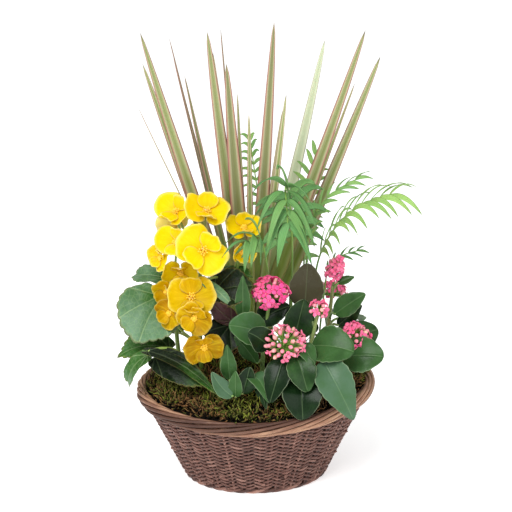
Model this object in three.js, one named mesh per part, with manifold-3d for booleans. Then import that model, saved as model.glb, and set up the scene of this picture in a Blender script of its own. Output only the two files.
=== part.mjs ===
// A flower basket arrangement: an oval willow basket planted with a dracaena, a parlour palm, a yellow
// begonia and pink kalanchoes, with moss laid over the soil.
// Millimetres, +Z up, the origin at the middle of the basket's underside, the front towards -Y.

import * as THREE from "three";
import { mergeVertices } from "three/addons/utils/BufferGeometryUtils.js";
import Module from "manifold-3d";

const wasm = await Module();
wasm.setup();

// ---- Driving dimensions ----------------------------------------------------------------------------

const rimLength = 286; // over the basket's rim, on its long axis
const footLength = 175; // over the woven base
const ovalRatio = 0.867; // the basket's width as a share of its length
const basketHeight = 109; // to the top of the rim at the front
const rimRise = 9; // how much higher the rim is at the two ends
const rimTilt = 3; // and how much the right end is higher than the middle
const basketTurn = THREE.MathUtils.degToRad(10); // the long axis turned about Z
const baseThickness = 7;
const borderHeight = 17; // the rolled border of rods along the rim
const borderThickness = 13;
const soilTop = 92;
const mossTop = 121; // the moss at the middle of the basket
const mossEdge = 107; // and against the rim
const rootDepth = 60; // the height at which every stem ends, down in the soil
const gap = 0.35; // clear space where two pieces meet

const arrangement = new THREE.Group();
const up = new THREE.Vector3(0, 0, 1);
const vector = ([x, y, z]) => new THREE.Vector3(x, y, z);

// ---- Solids ----------------------------------------------------------------------------------------

// A closed geometry as a solid that can be joined and cut.
function solidOf(geometry) {
  geometry.deleteAttribute("normal");
  geometry.deleteAttribute("uv");
  const welded = mergeVertices(geometry, 1e-4);
  return new wasm.Manifold(
    new wasm.Mesh({
      numProp: 3,
      vertProperties: new Float32Array(welded.attributes.position.array),
      triVerts: new Uint32Array(welded.index.array),
    }),
  );
}

function geometryOf(solid) {
  const { vertProperties, triVerts } = solid.getMesh();
  const geometry = new THREE.BufferGeometry();
  geometry.setAttribute("position", new THREE.BufferAttribute(vertProperties, 3));
  geometry.setIndex(new THREE.BufferAttribute(triVerts, 1));
  return geometry;
}

const joined = (solids) => solids.reduce((whole, solid) => whole.add(solid));

// The largest body of a solid, so that what a cut leaves loose is dropped.
const largestOf = (solid) =>
  solid.decompose().reduce((best, body) => (body.volume() > best.volume() ? body : best));

const boxesMeet = (a, b) =>
  [0, 1, 2].every((axis) => a.min[axis] < b.max[axis] && b.min[axis] < a.max[axis]);

// Each piece gives way, with a gap, to the pieces that are already in place.
// build(grow) makes its solid, with every surface moved out by grow.
const settled = [];

function place(name, look, build) {
  let solid = build(0);
  const box = solid.boundingBox();
  for (const other of settled) {
    if (boxesMeet(box, other.box)) solid = solid.subtract(other.swollen);
  }
  const mesh = new THREE.Mesh(geometryOf(largestOf(solid)), new THREE.MeshStandardMaterial(look));
  mesh.name = name;
  arrangement.add(mesh);
  const swollen = build(gap);
  settled.push({ swollen, box: swollen.boundingBox() });
}

// A closed band round the basket: a section of points carried round the oval.
// pointAt(turn, k) gives point k of the section, counter-clockwise as seen along the band.
function bandSolid(stations, sectionCount, pointAt) {
  const positions = [];
  const indices = [];
  for (let i = 0; i < stations; i++) {
    for (let k = 0; k < sectionCount; k++) {
      positions.push(...pointAt((2 * Math.PI * i) / stations, k, i));
      const here = i * sectionCount;
      const next = ((i + 1) % stations) * sectionCount;
      const above = (k + 1) % sectionCount;
      indices.push(here + k, next + k, next + above);
      indices.push(here + k, next + above, here + above);
    }
  }
  return solidOf(indexedGeometry(positions, indices));
}

function indexedGeometry(positions, indices) {
  const geometry = new THREE.BufferGeometry();
  geometry.setAttribute("position", new THREE.Float32BufferAttribute(positions, 3));
  geometry.setIndex(indices);
  return geometry;
}

// A thin sheet as a solid. It has points, each with the upper side's normal and a thickness, and
// triangles on its upper side. The lower side has the same triangles turned over, so the two never cross
// however the sheet waves, and a wall closes every free edge.
class Sheet {
  points = [];
  normals = [];
  thicknesses = [];
  faces = [];

  add(point, normal, thickness) {
    this.normals.push(normal);
    this.thicknesses.push(thickness);
    return this.points.push(point) - 1;
  }

  // A strip of quads between two rows of points, the second one further along the sheet.
  fill(row, next) {
    for (let j = 0; j + 1 < row.length; j++) {
      this.faces.push([row[j], row[j + 1], next[j + 1]], [row[j], next[j + 1], next[j]]);
    }
  }

  solid(grow) {
    const positions = [];
    for (const side of [0.5, -0.5]) {
      this.points.forEach((point, i) => {
        const offset = side * (this.thicknesses[i] + 2 * grow);
        positions.push(...point.clone().addScaledVector(this.normals[i], offset).toArray());
      });
    }
    const layer = this.points.length;
    const edges = new Set(this.faces.flatMap(([a, b, c]) => [`${a} ${b}`, `${b} ${c}`, `${c} ${a}`]));
    const indices = [];
    for (const [a, b, c] of this.faces) {
      indices.push(a, b, c, a + layer, c + layer, b + layer);
      for (const [from, to] of [[a, b], [b, c], [c, a]]) {
        if (edges.has(`${to} ${from}`)) continue;
        indices.push(to, from, from + layer, to, from + layer, to + layer);
      }
    }
    return solidOf(indexedGeometry(positions, indices));
  }
}

// The midrib of a leaf: a quadratic curve, made longer at both ends by grow.
function midribOf({ base, tip, arch }, grow = 0) {
  const reach = tip.clone().sub(base).normalize();
  const start = base.clone().addScaledVector(reach, -grow);
  const end = tip.clone().addScaledVector(reach, grow);
  const control = start.clone().lerp(end, 0.5).addScaledVector(arch, 2);
  return new THREE.QuadraticBezierCurve3(start, control, end);
}

// The rows of points of a leaf, petal or blade, added to a sheet. Its midrib is a quadratic curve from
// base to tip, raised by arch at its middle. The kind gives its stations, its outline as a share of the
// width, how far its edges rise above the midrib, how far the lobes at its base reach back, and how far
// the edges fall behind the middle at a round tip.
function leafRows(sheet, kind, { base, tip, arch, faces, width }, grow) {
  const midrib = midribOf({ base, tip, arch }, grow);
  return kind.stations(width).map((t, i) => {
    const tangent = midrib.getTangent(t);
    const side = tangent.clone().cross(faces).normalize();
    const normal = side.clone().cross(tangent);
    const tooth = i % 2 ? 1 : 1 - kind.tooth;
    const half = (width / 2) * kind.outline(t) * tooth + grow;
    const row = [];
    for (let j = 0; j <= kind.across; j++) {
      const s = (2 * j) / kind.across - 1;
      const point = midrib.getPoint(t).addScaledVector(side, s * half);
      point.addScaledVector(normal, kind.rise * s * s * half);
      const back = s * s * (kind.lobe * Math.sin(Math.PI * Math.min(1, 2.2 * t)) + kind.round * t ** 4);
      point.addScaledVector(tangent, -width * back);
      row.push(sheet.add(point, normal, kind.thickness));
    }
    return row;
  });
}

// A leaf as a solid. Where it has a joint, its flat stalk comes from there, mitred where it meets the leaf.
function leafSolid(kind, leaf, grow) {
  const sheet = new Sheet();
  const rows = leafRows(sheet, kind, leaf, grow);
  if (leaf.joint) {
    const stalk = leaf.base.clone().sub(leaf.joint).normalize();
    const side = midribOf(leaf).getTangent(0).cross(leaf.faces);
    side.addScaledVector(stalk, -side.dot(stalk)).normalize();
    const normal = side.clone().cross(stalk);
    for (const corner of rows[0]) {
      sheet.normals[corner] = sheet.normals[corner].clone().add(normal).normalize();
    }
    const foot = rows[0].map((_, j) => {
      const s = (2 * j) / kind.across - 1;
      const point = leaf.joint.clone().addScaledVector(side, s * (kind.stalkRadius + grow));
      return sheet.add(point, normal, 2 * kind.stalkRadius);
    });
    rows.unshift(foot);
  }
  for (let i = 0; i + 1 < rows.length; i++) sheet.fill(rows[i], rows[i + 1]);
  return sheet.solid(grow);
}

// A round stem of a few sides along a smooth path.
function stemSolid(points, radius, grow, sides = 5) {
  const section = new THREE.Shape();
  for (let k = 0; k < sides; k++) {
    const turn = (2 * Math.PI * k) / sides;
    const corner = [(radius + grow) * Math.cos(turn), (radius + grow) * Math.sin(turn)];
    if (k) section.lineTo(...corner);
    else section.moveTo(...corner);
  }
  const extrudePath = new THREE.CatmullRomCurve3(points);
  const steps = Math.max(1, Math.round(1.4 * (points.length - 1)));
  return solidOf(new THREE.ExtrudeGeometry(section, { extrudePath, steps, bevelEnabled: false }));
}

// ---- The basket ------------------------------------------------------------------------------------

const willow = { color: 0x7a5240, roughness: 0.75 };

// The share of the way from the foot's outline to the rim's, at a share of the basket's height.
const flare = (height) => Math.max(0, height) ** 1.1;

// How much higher the whole basket is at x than at its middle, as a share of its height.
function liftAt(x) {
  const share = x / (rimLength / 2);
  return 1 + (rimRise * share * share + rimTilt * share) / basketHeight;
}

// The basket's half length at a share of its height, a distance in from its outer face.
const halfLength = (height, inset) => footLength / 2 + ((rimLength - footLength) / 2) * flare(height) - inset;

// A point of the basket's oval.
function ovalPoint(turn, height, inset) {
  const along = halfLength(height, inset) * Math.cos(turn);
  const across = halfLength(height, inset) * ovalRatio * Math.sin(turn);
  const x = along * Math.cos(basketTurn) - across * Math.sin(basketTurn);
  const y = along * Math.sin(basketTurn) + across * Math.cos(basketTurn);
  return [x, y, height * basketHeight * liftAt(x)];
}

// The base: a woven oval with the bottom rods round its edge, flat underneath.
function baseSolid(grow) {
  const radius = footLength / 2;
  const profile = [
    [0, 0 - grow],
    [radius - 6, 0 - grow],
    [radius - 1 + grow, baseThickness * 0.3],
    [radius - 1 + grow, baseThickness * 0.7],
    [radius - 4, baseThickness + grow],
    [0, baseThickness + grow],
  ].map(([x, y]) => new THREE.Vector2(x, y));
  const lathe = new THREE.LatheGeometry(profile, 24);
  lathe.rotateX(Math.PI / 2).scale(1, ovalRatio, 1).rotateZ(basketTurn);
  return solidOf(lathe);
}

// The side wall: willow weavers passed in and out of upright stakes, as relief on both of its faces.
const stakes = 16;
const weaverRows = 6;
const wallThickness = 5;
const weaveDepth = 1.6;

function wallSolid(grow) {
  const low = (baseThickness + gap + weaveDepth - grow) / basketHeight;
  const high = (basketHeight - borderHeight - 1.5 + grow) / basketHeight;
  const outerPoints = 2 * weaverRows + 1;
  const innerPoints = 3;
  return bandSolid(2 * stakes, outerPoints + innerPoints, (turn, k, i) => {
    if (k < outerPoints) {
      const row = Math.floor(k / 2);
      const crest = k % 2 ? (i % 2 ? 0 : (-1) ** (i / 2 + row)) : -1;
      return ovalPoint(turn, low + ((high - low) * k) / (outerPoints - 1), -crest * weaveDepth - grow);
    }
    const share = (outerPoints + innerPoints - 1 - k) / (innerPoints - 1);
    return ovalPoint(turn, low + (high - low) * share, wallThickness + grow);
  });
}

// The border: rods rolled round one another, as one band with three lobes that turn along the rim.
const borderRods = 3;
const borderTurns = 6;

function borderSolid(grow) {
  const sectionCount = 2 * borderRods;
  return bandSolid(48, sectionCount, (turn, k) => {
    const roll = (2 * Math.PI * k) / sectionCount;
    const crest = k % 2 ? 0.8 : 1;
    const spin = roll + (borderTurns * turn) / borderRods;
    const [x, y, z] = ovalPoint(turn, 1, borderThickness / 2);
    const outwards = (borderThickness / 2 + grow) * crest * Math.cos(spin);
    const radial = new THREE.Vector2(x, y).normalize().multiplyScalar(outwards);
    const height = (borderHeight / 2 + grow) * crest * Math.sin(spin);
    return [x + radial.x, y + radial.y, z - borderHeight / 2 + height];
  });
}

place("basket_border", { color: 0x8d6650, roughness: 0.7 }, borderSolid);
place("basket_wall", willow, wallSolid);
place("basket_base", willow, baseSolid);

// ---- The begonia: yellow blooms --------------------------------------------------------------------

const petal = {
  stations: (width) => (width < 32 ? [0, 0.58, 1] : [0, 0.4, 0.7, 1]),
  across: 2,
  thickness: 1.2,
  tooth: 0,
  rise: 0.1,
  lobe: 0,
  round: 0.11,
  outline: (t) => 0.16 + 0.84 * Math.sin(Math.PI * 0.83 * t ** 1.1) ** 0.8,
};
const petalCount = 4;
const hubRadius = 0.17; // where the petals start, as a share of the bloom's radius

// One bloom: two wide outer petals and two narrower inner ones, which stand more upright, round a small
// hub that rises in the middle as the stamens. It looks along faces, and cup raises the petals, from 0
// for a flat bloom to 90 degrees for a closed one.
function bloomSolid({ at, faces, width, cup, roll }, grow) {
  const sheet = new Sheet();
  const centre = vector(at);
  const axis = vector(faces).normalize();
  const right = axis.clone().cross(up).normalize();
  const above = right.clone().cross(axis);
  const radius = width / 2;
  const hub = [];
  for (let k = 0; k < petalCount; k++) {
    const inner = k % 2;
    const turn = THREE.MathUtils.degToRad(roll) - (2 * Math.PI * k) / petalCount;
    const raise = THREE.MathUtils.degToRad(cup + 14 * inner);
    const reach = radius * (1 - 0.12 * inner);
    const outwards = right.clone().multiplyScalar(Math.cos(turn)).addScaledVector(above, Math.sin(turn));
    const slope = outwards.clone().multiplyScalar(Math.cos(raise)).addScaledVector(axis, Math.sin(raise));
    const base = centre.clone().addScaledVector(outwards, radius * hubRadius + 2 * grow);
    base.addScaledVector(axis, 0.06 * radius * inner);
    const tip = centre.clone().addScaledVector(slope, reach);
    const arch = outwards.multiplyScalar(0.05 * radius).addScaledVector(axis, -0.05 * radius);
    const spread = radius * (1.6 - 0.35 * inner) * Math.cos(0.85 * raise);
    const rows = leafRows(sheet, petal, { base, tip, arch, faces: axis, width: spread }, grow);
    for (let i = 0; i + 1 < rows.length; i++) sheet.fill(rows[i], rows[i + 1]);
    hub.push(...rows[0].toReversed());
  }
  const middle = sheet.add(centre.clone().addScaledVector(axis, radius * 0.12), axis, petal.thickness * 2);
  hub.forEach((corner, i) => sheet.faces.push([middle, corner, hub[(i + 1) % hub.length]]));
  return sheet.solid(grow);
}

// Where each bloom sits, the way it looks, its width, how far it is cupped, how it is rolled, and the
// shoot that carries it.
const blooms = [
  { at: [-92, -2, 323], faces: [-0.35, -0.6, 0.7], width: 50, cup: 26, roll: 20, shoot: "crown" },
  { at: [-57, -16, 328], faces: [0.2, -0.6, 0.7], width: 56, cup: 22, roll: 20, shoot: "crown" },
  { at: [-60, -56, 294], faces: [0.05, -1, 0.3], width: 64, cup: 18, roll: 45, shoot: "crown" },
  { at: [-91, -34, 297], faces: [-0.3, -0.9, 0.3], width: 46, cup: 24, roll: 10, shoot: "left" },
  { at: [-110, -22, 274], faces: [-0.6, -0.7, 0.2], width: 34, cup: 28, roll: 30, shoot: "left" },
  { at: [-87, -26, 258], faces: [-0.1, -0.95, -0.2], width: 44, cup: 28, roll: 0, shoot: "left" },
  { at: [-103, -32, 236], faces: [-0.4, -0.9, -0.1], width: 38, cup: 30, roll: 40, shoot: "left" },
  { at: [-74, -62, 240], faces: [0.1, -0.9, 0.45], width: 58, cup: 22, roll: 0, shoot: "front" },
  { at: [-99, -54, 218], faces: [-0.4, -0.9, 0.1], width: 38, cup: 26, roll: 60, shoot: "front" },
  { at: [-70, -76, 220], faces: [0, -1, 0.1], width: 42, cup: 22, roll: 45, shoot: "front" },
  { at: [-59, -84, 188], faces: [0.1, -1, 0], width: 46, cup: 20, roll: 0, shoot: "front" },
  { at: [-14, -20, 309], faces: [0.1, -0.65, 0.75], width: 42, cup: 26, roll: 0, shoot: "right" },
  { at: [-17, -24, 282], faces: [0.4, -0.9, -0.1], width: 34, cup: 32, roll: 15, shoot: "right" },
  { at: [-92, 32, 300], faces: [-0.5, 0.8, 0.4], width: 50, cup: 28, roll: 25, shoot: "back" },
  { at: [-74, 76, 262], faces: [-0.1, 0.9, 0.4], width: 46, cup: 25, roll: 60, shoot: "back" },
];

blooms.forEach((bloom, index) => {
  const name = `begonia_bloom_${String(index + 1).padStart(2, "0")}`;
  place(name, { color: 0xffc918, roughness: 0.6 }, (grow) => bloomSolid(bloom, grow));
});

// ---- The kalanchoes: pink flower heads -------------------------------------------------------------

// A floret is a star of four petals, and a bud is a small spindle. Each stands on a tube that starts
// inside the head.
const floretRadius = 7;
const notchRadius = 3; // between two petals
const budRadius = 2.3;
const budHeight = 4;
const tubeRoot = 0.2; // how far from the head's centre a tube starts, as a share of its length
const goldenAngle = Math.PI * (3 - Math.sqrt(5));

// Points round a spot, square to an axis, at the given radii in turn.
function ringOfPoints(at, axis, radii) {
  const right = axis.clone().cross(new THREE.Vector3(0.3, 0.5, 0.8)).normalize();
  const above = axis.clone().cross(right);
  return radii.map((radius, k) => {
    const turn = (2 * Math.PI * k) / radii.length;
    const point = at.clone().addScaledVector(right, radius * Math.cos(turn));
    return point.addScaledVector(above, radius * Math.sin(turn));
  });
}

function floretSolid(at, axis, root, grow) {
  const radii = Array.from({ length: 8 }, (_, k) => (k % 2 ? notchRadius : floretRadius + grow));
  return spindleSolid(at.clone().addScaledVector(axis, 1 + grow), ringOfPoints(at, axis, radii), root);
}

function budSolid(at, axis, root, grow) {
  const top = at.clone().addScaledVector(axis, budHeight + grow);
  return spindleSolid(top, ringOfPoints(at, axis, Array(4).fill(budRadius + grow)), root);
}

// Two cones on one rim of points, which runs counter-clockwise round the way from foot to top.
function spindleSolid(top, rim, foot) {
  const positions = [top, foot, ...rim].flatMap((point) => point.toArray());
  const indices = [];
  for (let k = 0; k < rim.length; k++) {
    const here = 2 + k;
    const next = 2 + ((k + 1) % rim.length);
    indices.push(0, here, next, 1, next, here);
  }
  return solidOf(indexedGeometry(positions, indices));
}

// A head: a small core, with open florets and buds that stand out of it, spread evenly by the golden
// angle over the part of the core within spread degrees of its axis.
function headSolid({ at, axis, size, count, spread }, grow) {
  const centre = vector(at);
  const main = vector(axis).normalize();
  const turnUp = new THREE.Quaternion().setFromUnitVectors(up, main);
  const [wide, tall] = size;
  const core = new THREE.OctahedronGeometry(1);
  core.scale(0.5 * wide + grow, 0.5 * wide + grow, 0.5 * tall + grow);
  core.applyQuaternion(turnUp).translate(...centre);
  const solids = [solidOf(core)];
  const [florets, buds] = count;
  const total = florets + buds;
  const flattest = Math.cos(THREE.MathUtils.degToRad(spread));
  for (let i = 0; i < total; i++) {
    const z = 1 - ((1 - flattest) * (i + 0.5)) / total;
    const turn = i * goldenAngle;
    const ring = Math.sqrt(1 - z * z);
    const direction = new THREE.Vector3(ring * Math.cos(turn), ring * Math.sin(turn), z);
    const spot = direction.clone().multiply(new THREE.Vector3(wide, wide, tall));
    spot.applyQuaternion(turnUp).add(centre);
    direction.applyQuaternion(turnUp);
    const root = centre.clone().lerp(spot, tubeRoot);
    const opensHere = Math.floor(((i + 1) * florets) / total) > Math.floor((i * florets) / total);
    solids.push((opensHere ? floretSolid : budSolid)(spot, direction, root, grow));
  }
  return joined(solids);
}

// Where each head is, the way its stalk points, its radius across and along that way, its florets and
// buds, how many degrees round they reach, and the shoot that carries it.
const heads = [
  { at: [17, -48, 240], axis: [0, -0.5, 1], size: [20, 17], count: [10, 4], spread: 100, shoot: "middle" },
  { at: [32, -84, 192], axis: [0, -0.6, 1], size: [23, 16], count: [8, 8], spread: 95, shoot: "front" },
  { at: [72, -55, 222], axis: [0.4, -0.6, 1], size: [10, 10], count: [5, 3], spread: 95, shoot: "right" },
  { at: [92, 2, 250], axis: [0.3, -0.1, 1], size: [9, 20], count: [6, 5], spread: 110, shoot: "tall" },
  { at: [116, -36, 182], axis: [0.8, -0.3, 0.8], size: [18, 13], count: [8, 5], spread: 90, shoot: "end" },
  { at: [92, 58, 204], axis: [0.2, 0.5, 1], size: [17, 13], count: [6, 3], spread: 95, shoot: "back" },
];

heads.forEach((head, index) => {
  place(`kalanchoe_head_${index + 1}`, { color: 0xf0569a, roughness: 0.55 }, (grow) => headSolid(head, grow));
});

// ---- Leafy shoots ----------------------------------------------------------------------------------

// A shoot: a stem that stands in the soil, with a stalk to each leaf and to each bloom or head. A stalk
// leaves the stem a little lower than what it carries, and above the moss.
function shootSolid(kind, { stem, leaves }, carried, grow) {
  const path = [[stem[0][0], stem[0][1], rootDepth], ...stem].map(vector);
  const top = path.at(-1).z;
  const curve = new THREE.CatmullRomCurve3(path);
  const lowest = (mossTop + 8 - rootDepth) / (top - rootDepth);
  const joint = (height) => {
    const share = (Math.min(top, height) - rootDepth) / (top - rootDepth);
    return curve.getPointAt(THREE.MathUtils.clamp(share, lowest, 0.96));
  };
  const solids = [stemSolid(path, kind.stemRadius, grow, 3)];
  for (const [base, tip, faces, width, arch = [0, 0, 0]] of leaves) {
    const leaf = { base: vector(base), tip: vector(tip), faces: vector(faces), width, arch: vector(arch) };
    leaf.joint = joint(leaf.base.z - kind.stalkDrop);
    solids.push(leafSolid(kind.leaf, leaf, grow));
  }
  for (const { at } of carried) {
    const end = vector(at);
    const start = joint(end.z - 1.6 * kind.stalkDrop);
    const bend = start.clone().lerp(end, 0.6);
    bend.z = start.z + 0.45 * (end.z - start.z);
    solids.push(stemSolid([start, bend, end], kind.leaf.stalkRadius, grow, 3));
  }
  return joined(solids);
}

const toothPitch = 13;

// Even stations from 0 to 1, as many as the teeth or waves along a leaf's edge need.
function evenStations(width) {
  const count = Math.max(3, Math.round(width / toothPitch));
  return Array.from({ length: count + 1 }, (_, i) => i / count);
}

const begonia = {
  stemRadius: 3,
  stalkDrop: 22,
  leaf: {
    stalkRadius: 1.3,
    stations: evenStations,
    across: 2,
    thickness: 0.9,
    tooth: 0.1,
    rise: 0.12,
    lobe: 0.16,
    round: 0,
    outline: (t) => 0.07 + 0.93 * Math.sin(Math.PI * t ** 0.7) ** 0.55,
  },
};

// Each leaf: its base, its tip, the way its upper side faces, its width, and its arch.
const begoniaShoots = {
  crown: {
    stem: [[-64, 2, 82], [-66, -8, 180], [-64, -14, 290]],
    leaves: [
      [[-50, -20, 250], [-2, -34, 254], [0, -0.25, 1], 26, [0, 0, 5]],
    ],
  },
  left: {
    stem: [[-80, -8, 82], [-92, -12, 160], [-96, -14, 255]],
    leaves: [
      [[-109, -24, 228], [-135, -56, 181], [-0.2, -0.9, 0.35], 77, [-2, -3, 3]],
      [[-106, -4, 243], [-147, 8, 241], [-0.1, -0.3, 1], 38, [0, 0, 3]],
      [[-101, -24, 162], [-162, -34, 156], [-0.2, -0.6, 0.8], 34, [0, 0, 9]],
    ],
  },
  front: {
    stem: [[-62, -24, 82], [-72, -42, 150], [-72, -48, 200]],
    leaves: [
      [[-125, -54, 166], [-148, -50, 124], [-0.7, -0.6, 0.5], 24, [-7, -2, 4]],
      [[-125, -62, 174], [-40, -104, 134], [0.2, -0.5, 0.85], 17, [0, -3, 11]],
      [[-117, -52, 163], [-60, -90, 143], [-0.1, -0.85, 0.5], 36, [0, -2, 4]],
    ],
  },
  right: {
    stem: [[-44, -12, 82], [-38, -18, 170], [-26, -14, 260]],
    leaves: [
      [[-48, -42, 240], [-3, -48, 249], [0.1, -0.8, 0.6], 46, [0, -3, 3]],
      [[-59, -58, 256], [-26, -62, 228], [-0.2, -0.7, 0.7], 12, [0, 0, 3]],
      [[-28, -54, 208], [-51, -64, 235], [-0.2, -0.95, 0.2], 24, [0, -2, 0]],
      [[-30, -50, 201], [-50, -70, 176], [0.1, -0.95, 0.3], 44, [0, -3, 3]],
    ],
  },
  back: {
    stem: [[-66, 24, 82], [-70, 30, 170], [-72, 26, 250]],
    leaves: [
      [[-94, 36, 210], [-140, 56, 198], [-0.3, 0.3, 0.9], 58, [0, 0, 4]],
      [[-74, 52, 212], [-84, 106, 198], [-0.1, 0.5, 0.85], 54, [0, 2, 4]],
      [[-56, 56, 200], [-44, 108, 182], [0.1, 0.5, 0.85], 48, [0, 3, 5]],
      [[-96, 38, 160], [-142, 66, 138], [-0.4, 0.3, 0.85], 52, [0, 0, 7]],
    ],
  },
};

const kalanchoe = {
  stemRadius: 3,
  stalkDrop: 12,
  leaf: {
    stalkRadius: 1.6,
    stations: evenStations,
    across: 2,
    thickness: 1.5,
    tooth: 0.07,
    rise: 0.14,
    lobe: 0,
    round: 0,
    outline: (t) => 0.1 + 0.9 * Math.sin(Math.PI * t ** 0.8) ** 0.6,
  },
};

const kalanchoeShoots = {
  middle: {
    stem: [[8, -28, 82], [8, -36, 160], [15, -44, 226]],
    leaves: [
      [[-15, -60, 213], [-15, -62, 266], [0, -1, 0.1], 18],
      [[10, -66, 196], [-31, -80, 212], [-0.1, -0.85, 0.5], 38, [0, -2, 3]],
      [[44, -46, 183], [55, -46, 232], [0.2, -1, 0.1], 38],
      [[1, -58, 158], [-25, -70, 195], [-0.4, -0.8, 0.5], 19, [0, 0, 3]],
      [[2, -40, 202], [39, -42, 222], [0, -0.85, 0.5], 30, [0, 0, 2]],
    ],
  },
  front: {
    stem: [[18, -46, 82], [20, -62, 140], [30, -78, 180]],
    leaves: [
      [[2, -84, 150], [12, -104, 120], [-0.6, -0.7, 0.4], 16, [0, -3, 3]],
      [[32, -84, 176], [16, -108, 129], [-0.3, -0.85, 0.4], 32, [0, -4, 3]],
      [[50, -80, 156], [53, -112, 110], [0.1, -0.8, 0.5], 48, [0, -7, 5]],
      [[46, -88, 177], [58, -108, 143], [0.1, -0.8, 0.5], 34, [0, -4, 4]],
      [[16, -78, 185], [-9, -92, 208], [-0.2, -0.8, 0.5], 30, [0, -2, 3]],
      [[50, -80, 190], [66, -92, 168], [0.3, -0.7, 0.6], 22, [0, -2, 3]],
    ],
  },
  low: {
    stem: [[-22, -72, 82], [-23, -80, 110], [-24, -86, 136]],
    leaves: [
      [[-30, -84, 147], [-33, -88, 192], [0, -1, 0.1], 19],
      [[-27, -100, 134], [-50, -106, 166], [0.45, -0.85, 0.25], 20, [-2, 0, -2]],
      [[-23, -97, 132], [-23, -103, 166], [-0.25, -0.95, 0.2], 17, [0, -2, 0]],
      [[-15, -92, 134], [-7, -93, 167], [0, -0.95, 0.3], 24, [0, -2, 0]],
      [[-7, -86, 151], [15, -106, 128], [0.1, -0.45, 0.9], 22, [0, -3, 12]],
    ],
  },
  right: {
    stem: [[58, -36, 82], [60, -46, 150], [70, -54, 214]],
    leaves: [
      [[64, -66, 182], [111, -88, 183], [0, -0.75, 0.65], 46, [0, -3, 4]],
      [[76, -84, 171], [110, -116, 112], [-0.1, -0.8, 0.6], 42, [-1, -7, 7]],
      [[57, -18, 211], [60, -12, 264], [0, -1, -0.1], 42],
    ],
  },
  tall: {
    stem: [[80, -2, 82], [84, -4, 160], [90, 0, 232]],
    leaves: [
      [[92, -22, 205], [127, -28, 232], [0.2, -0.7, 0.6], 26, [0, 0, 1]],
      [[96, -2, 236], [115, -2, 244], [0, -0.6, 0.8], 12],
      [[98, 12, 170], [144, 24, 158], [0.3, 0, 0.95], 38, [0, 0, 5]],
      [[96, -18, 190], [123, -24, 217], [0.5, -0.7, 0.3], 20],
    ],
  },
  end: {
    stem: [[94, -30, 82], [98, -34, 130], [110, -36, 172]],
    leaves: [
      [[101, -50, 162], [147, -62, 167], [0, -0.8, 0.6], 44, [0, -2, 3]],
      [[108, -24, 168], [144, -8, 180], [0.1, -0.7, 0.7], 36, [0, 0, 3]],
    ],
  },
  back: {
    stem: [[82, 46, 82], [84, 50, 140], [90, 54, 190]],
    leaves: [
      [[102, 56, 172], [130, 82, 158], [0.3, 0.4, 0.85], 40, [0, 0, 5]],
      [[84, 66, 172], [80, 110, 154], [0, 0.5, 0.85], 42, [0, 2, 5]],
      [[70, 60, 150], [38, 98, 140], [-0.2, 0.4, 0.85], 38, [0, 2, 5]],
      [[100, 60, 136], [116, 98, 128], [0.2, 0.3, 0.9], 36, [0, 0, 5]],
    ],
  },
};

for (const [plant, kind, shoots, carried, colour] of [
  ["begonia", begonia, begoniaShoots, blooms, 0x4f7a2f],
  ["kalanchoe", kalanchoe, kalanchoeShoots, heads, 0x2f5a2c],
]) {
  for (const [shoot, parts] of Object.entries(shoots)) {
    const own = carried.filter((item) => item.shoot === shoot);
    place(`${plant}_shoot_${shoot}`, { color: colour, roughness: 0.5 }, (grow) =>
      shootSolid(kind, parts, own, grow),
    );
  }
}

// ---- The parlour palm ------------------------------------------------------------------------------

const leafletThickness = 0.8;
const ribWidth = 2.2;
const stalkThickness = 2.4;
const lastOpen = 30; // degrees

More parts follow.
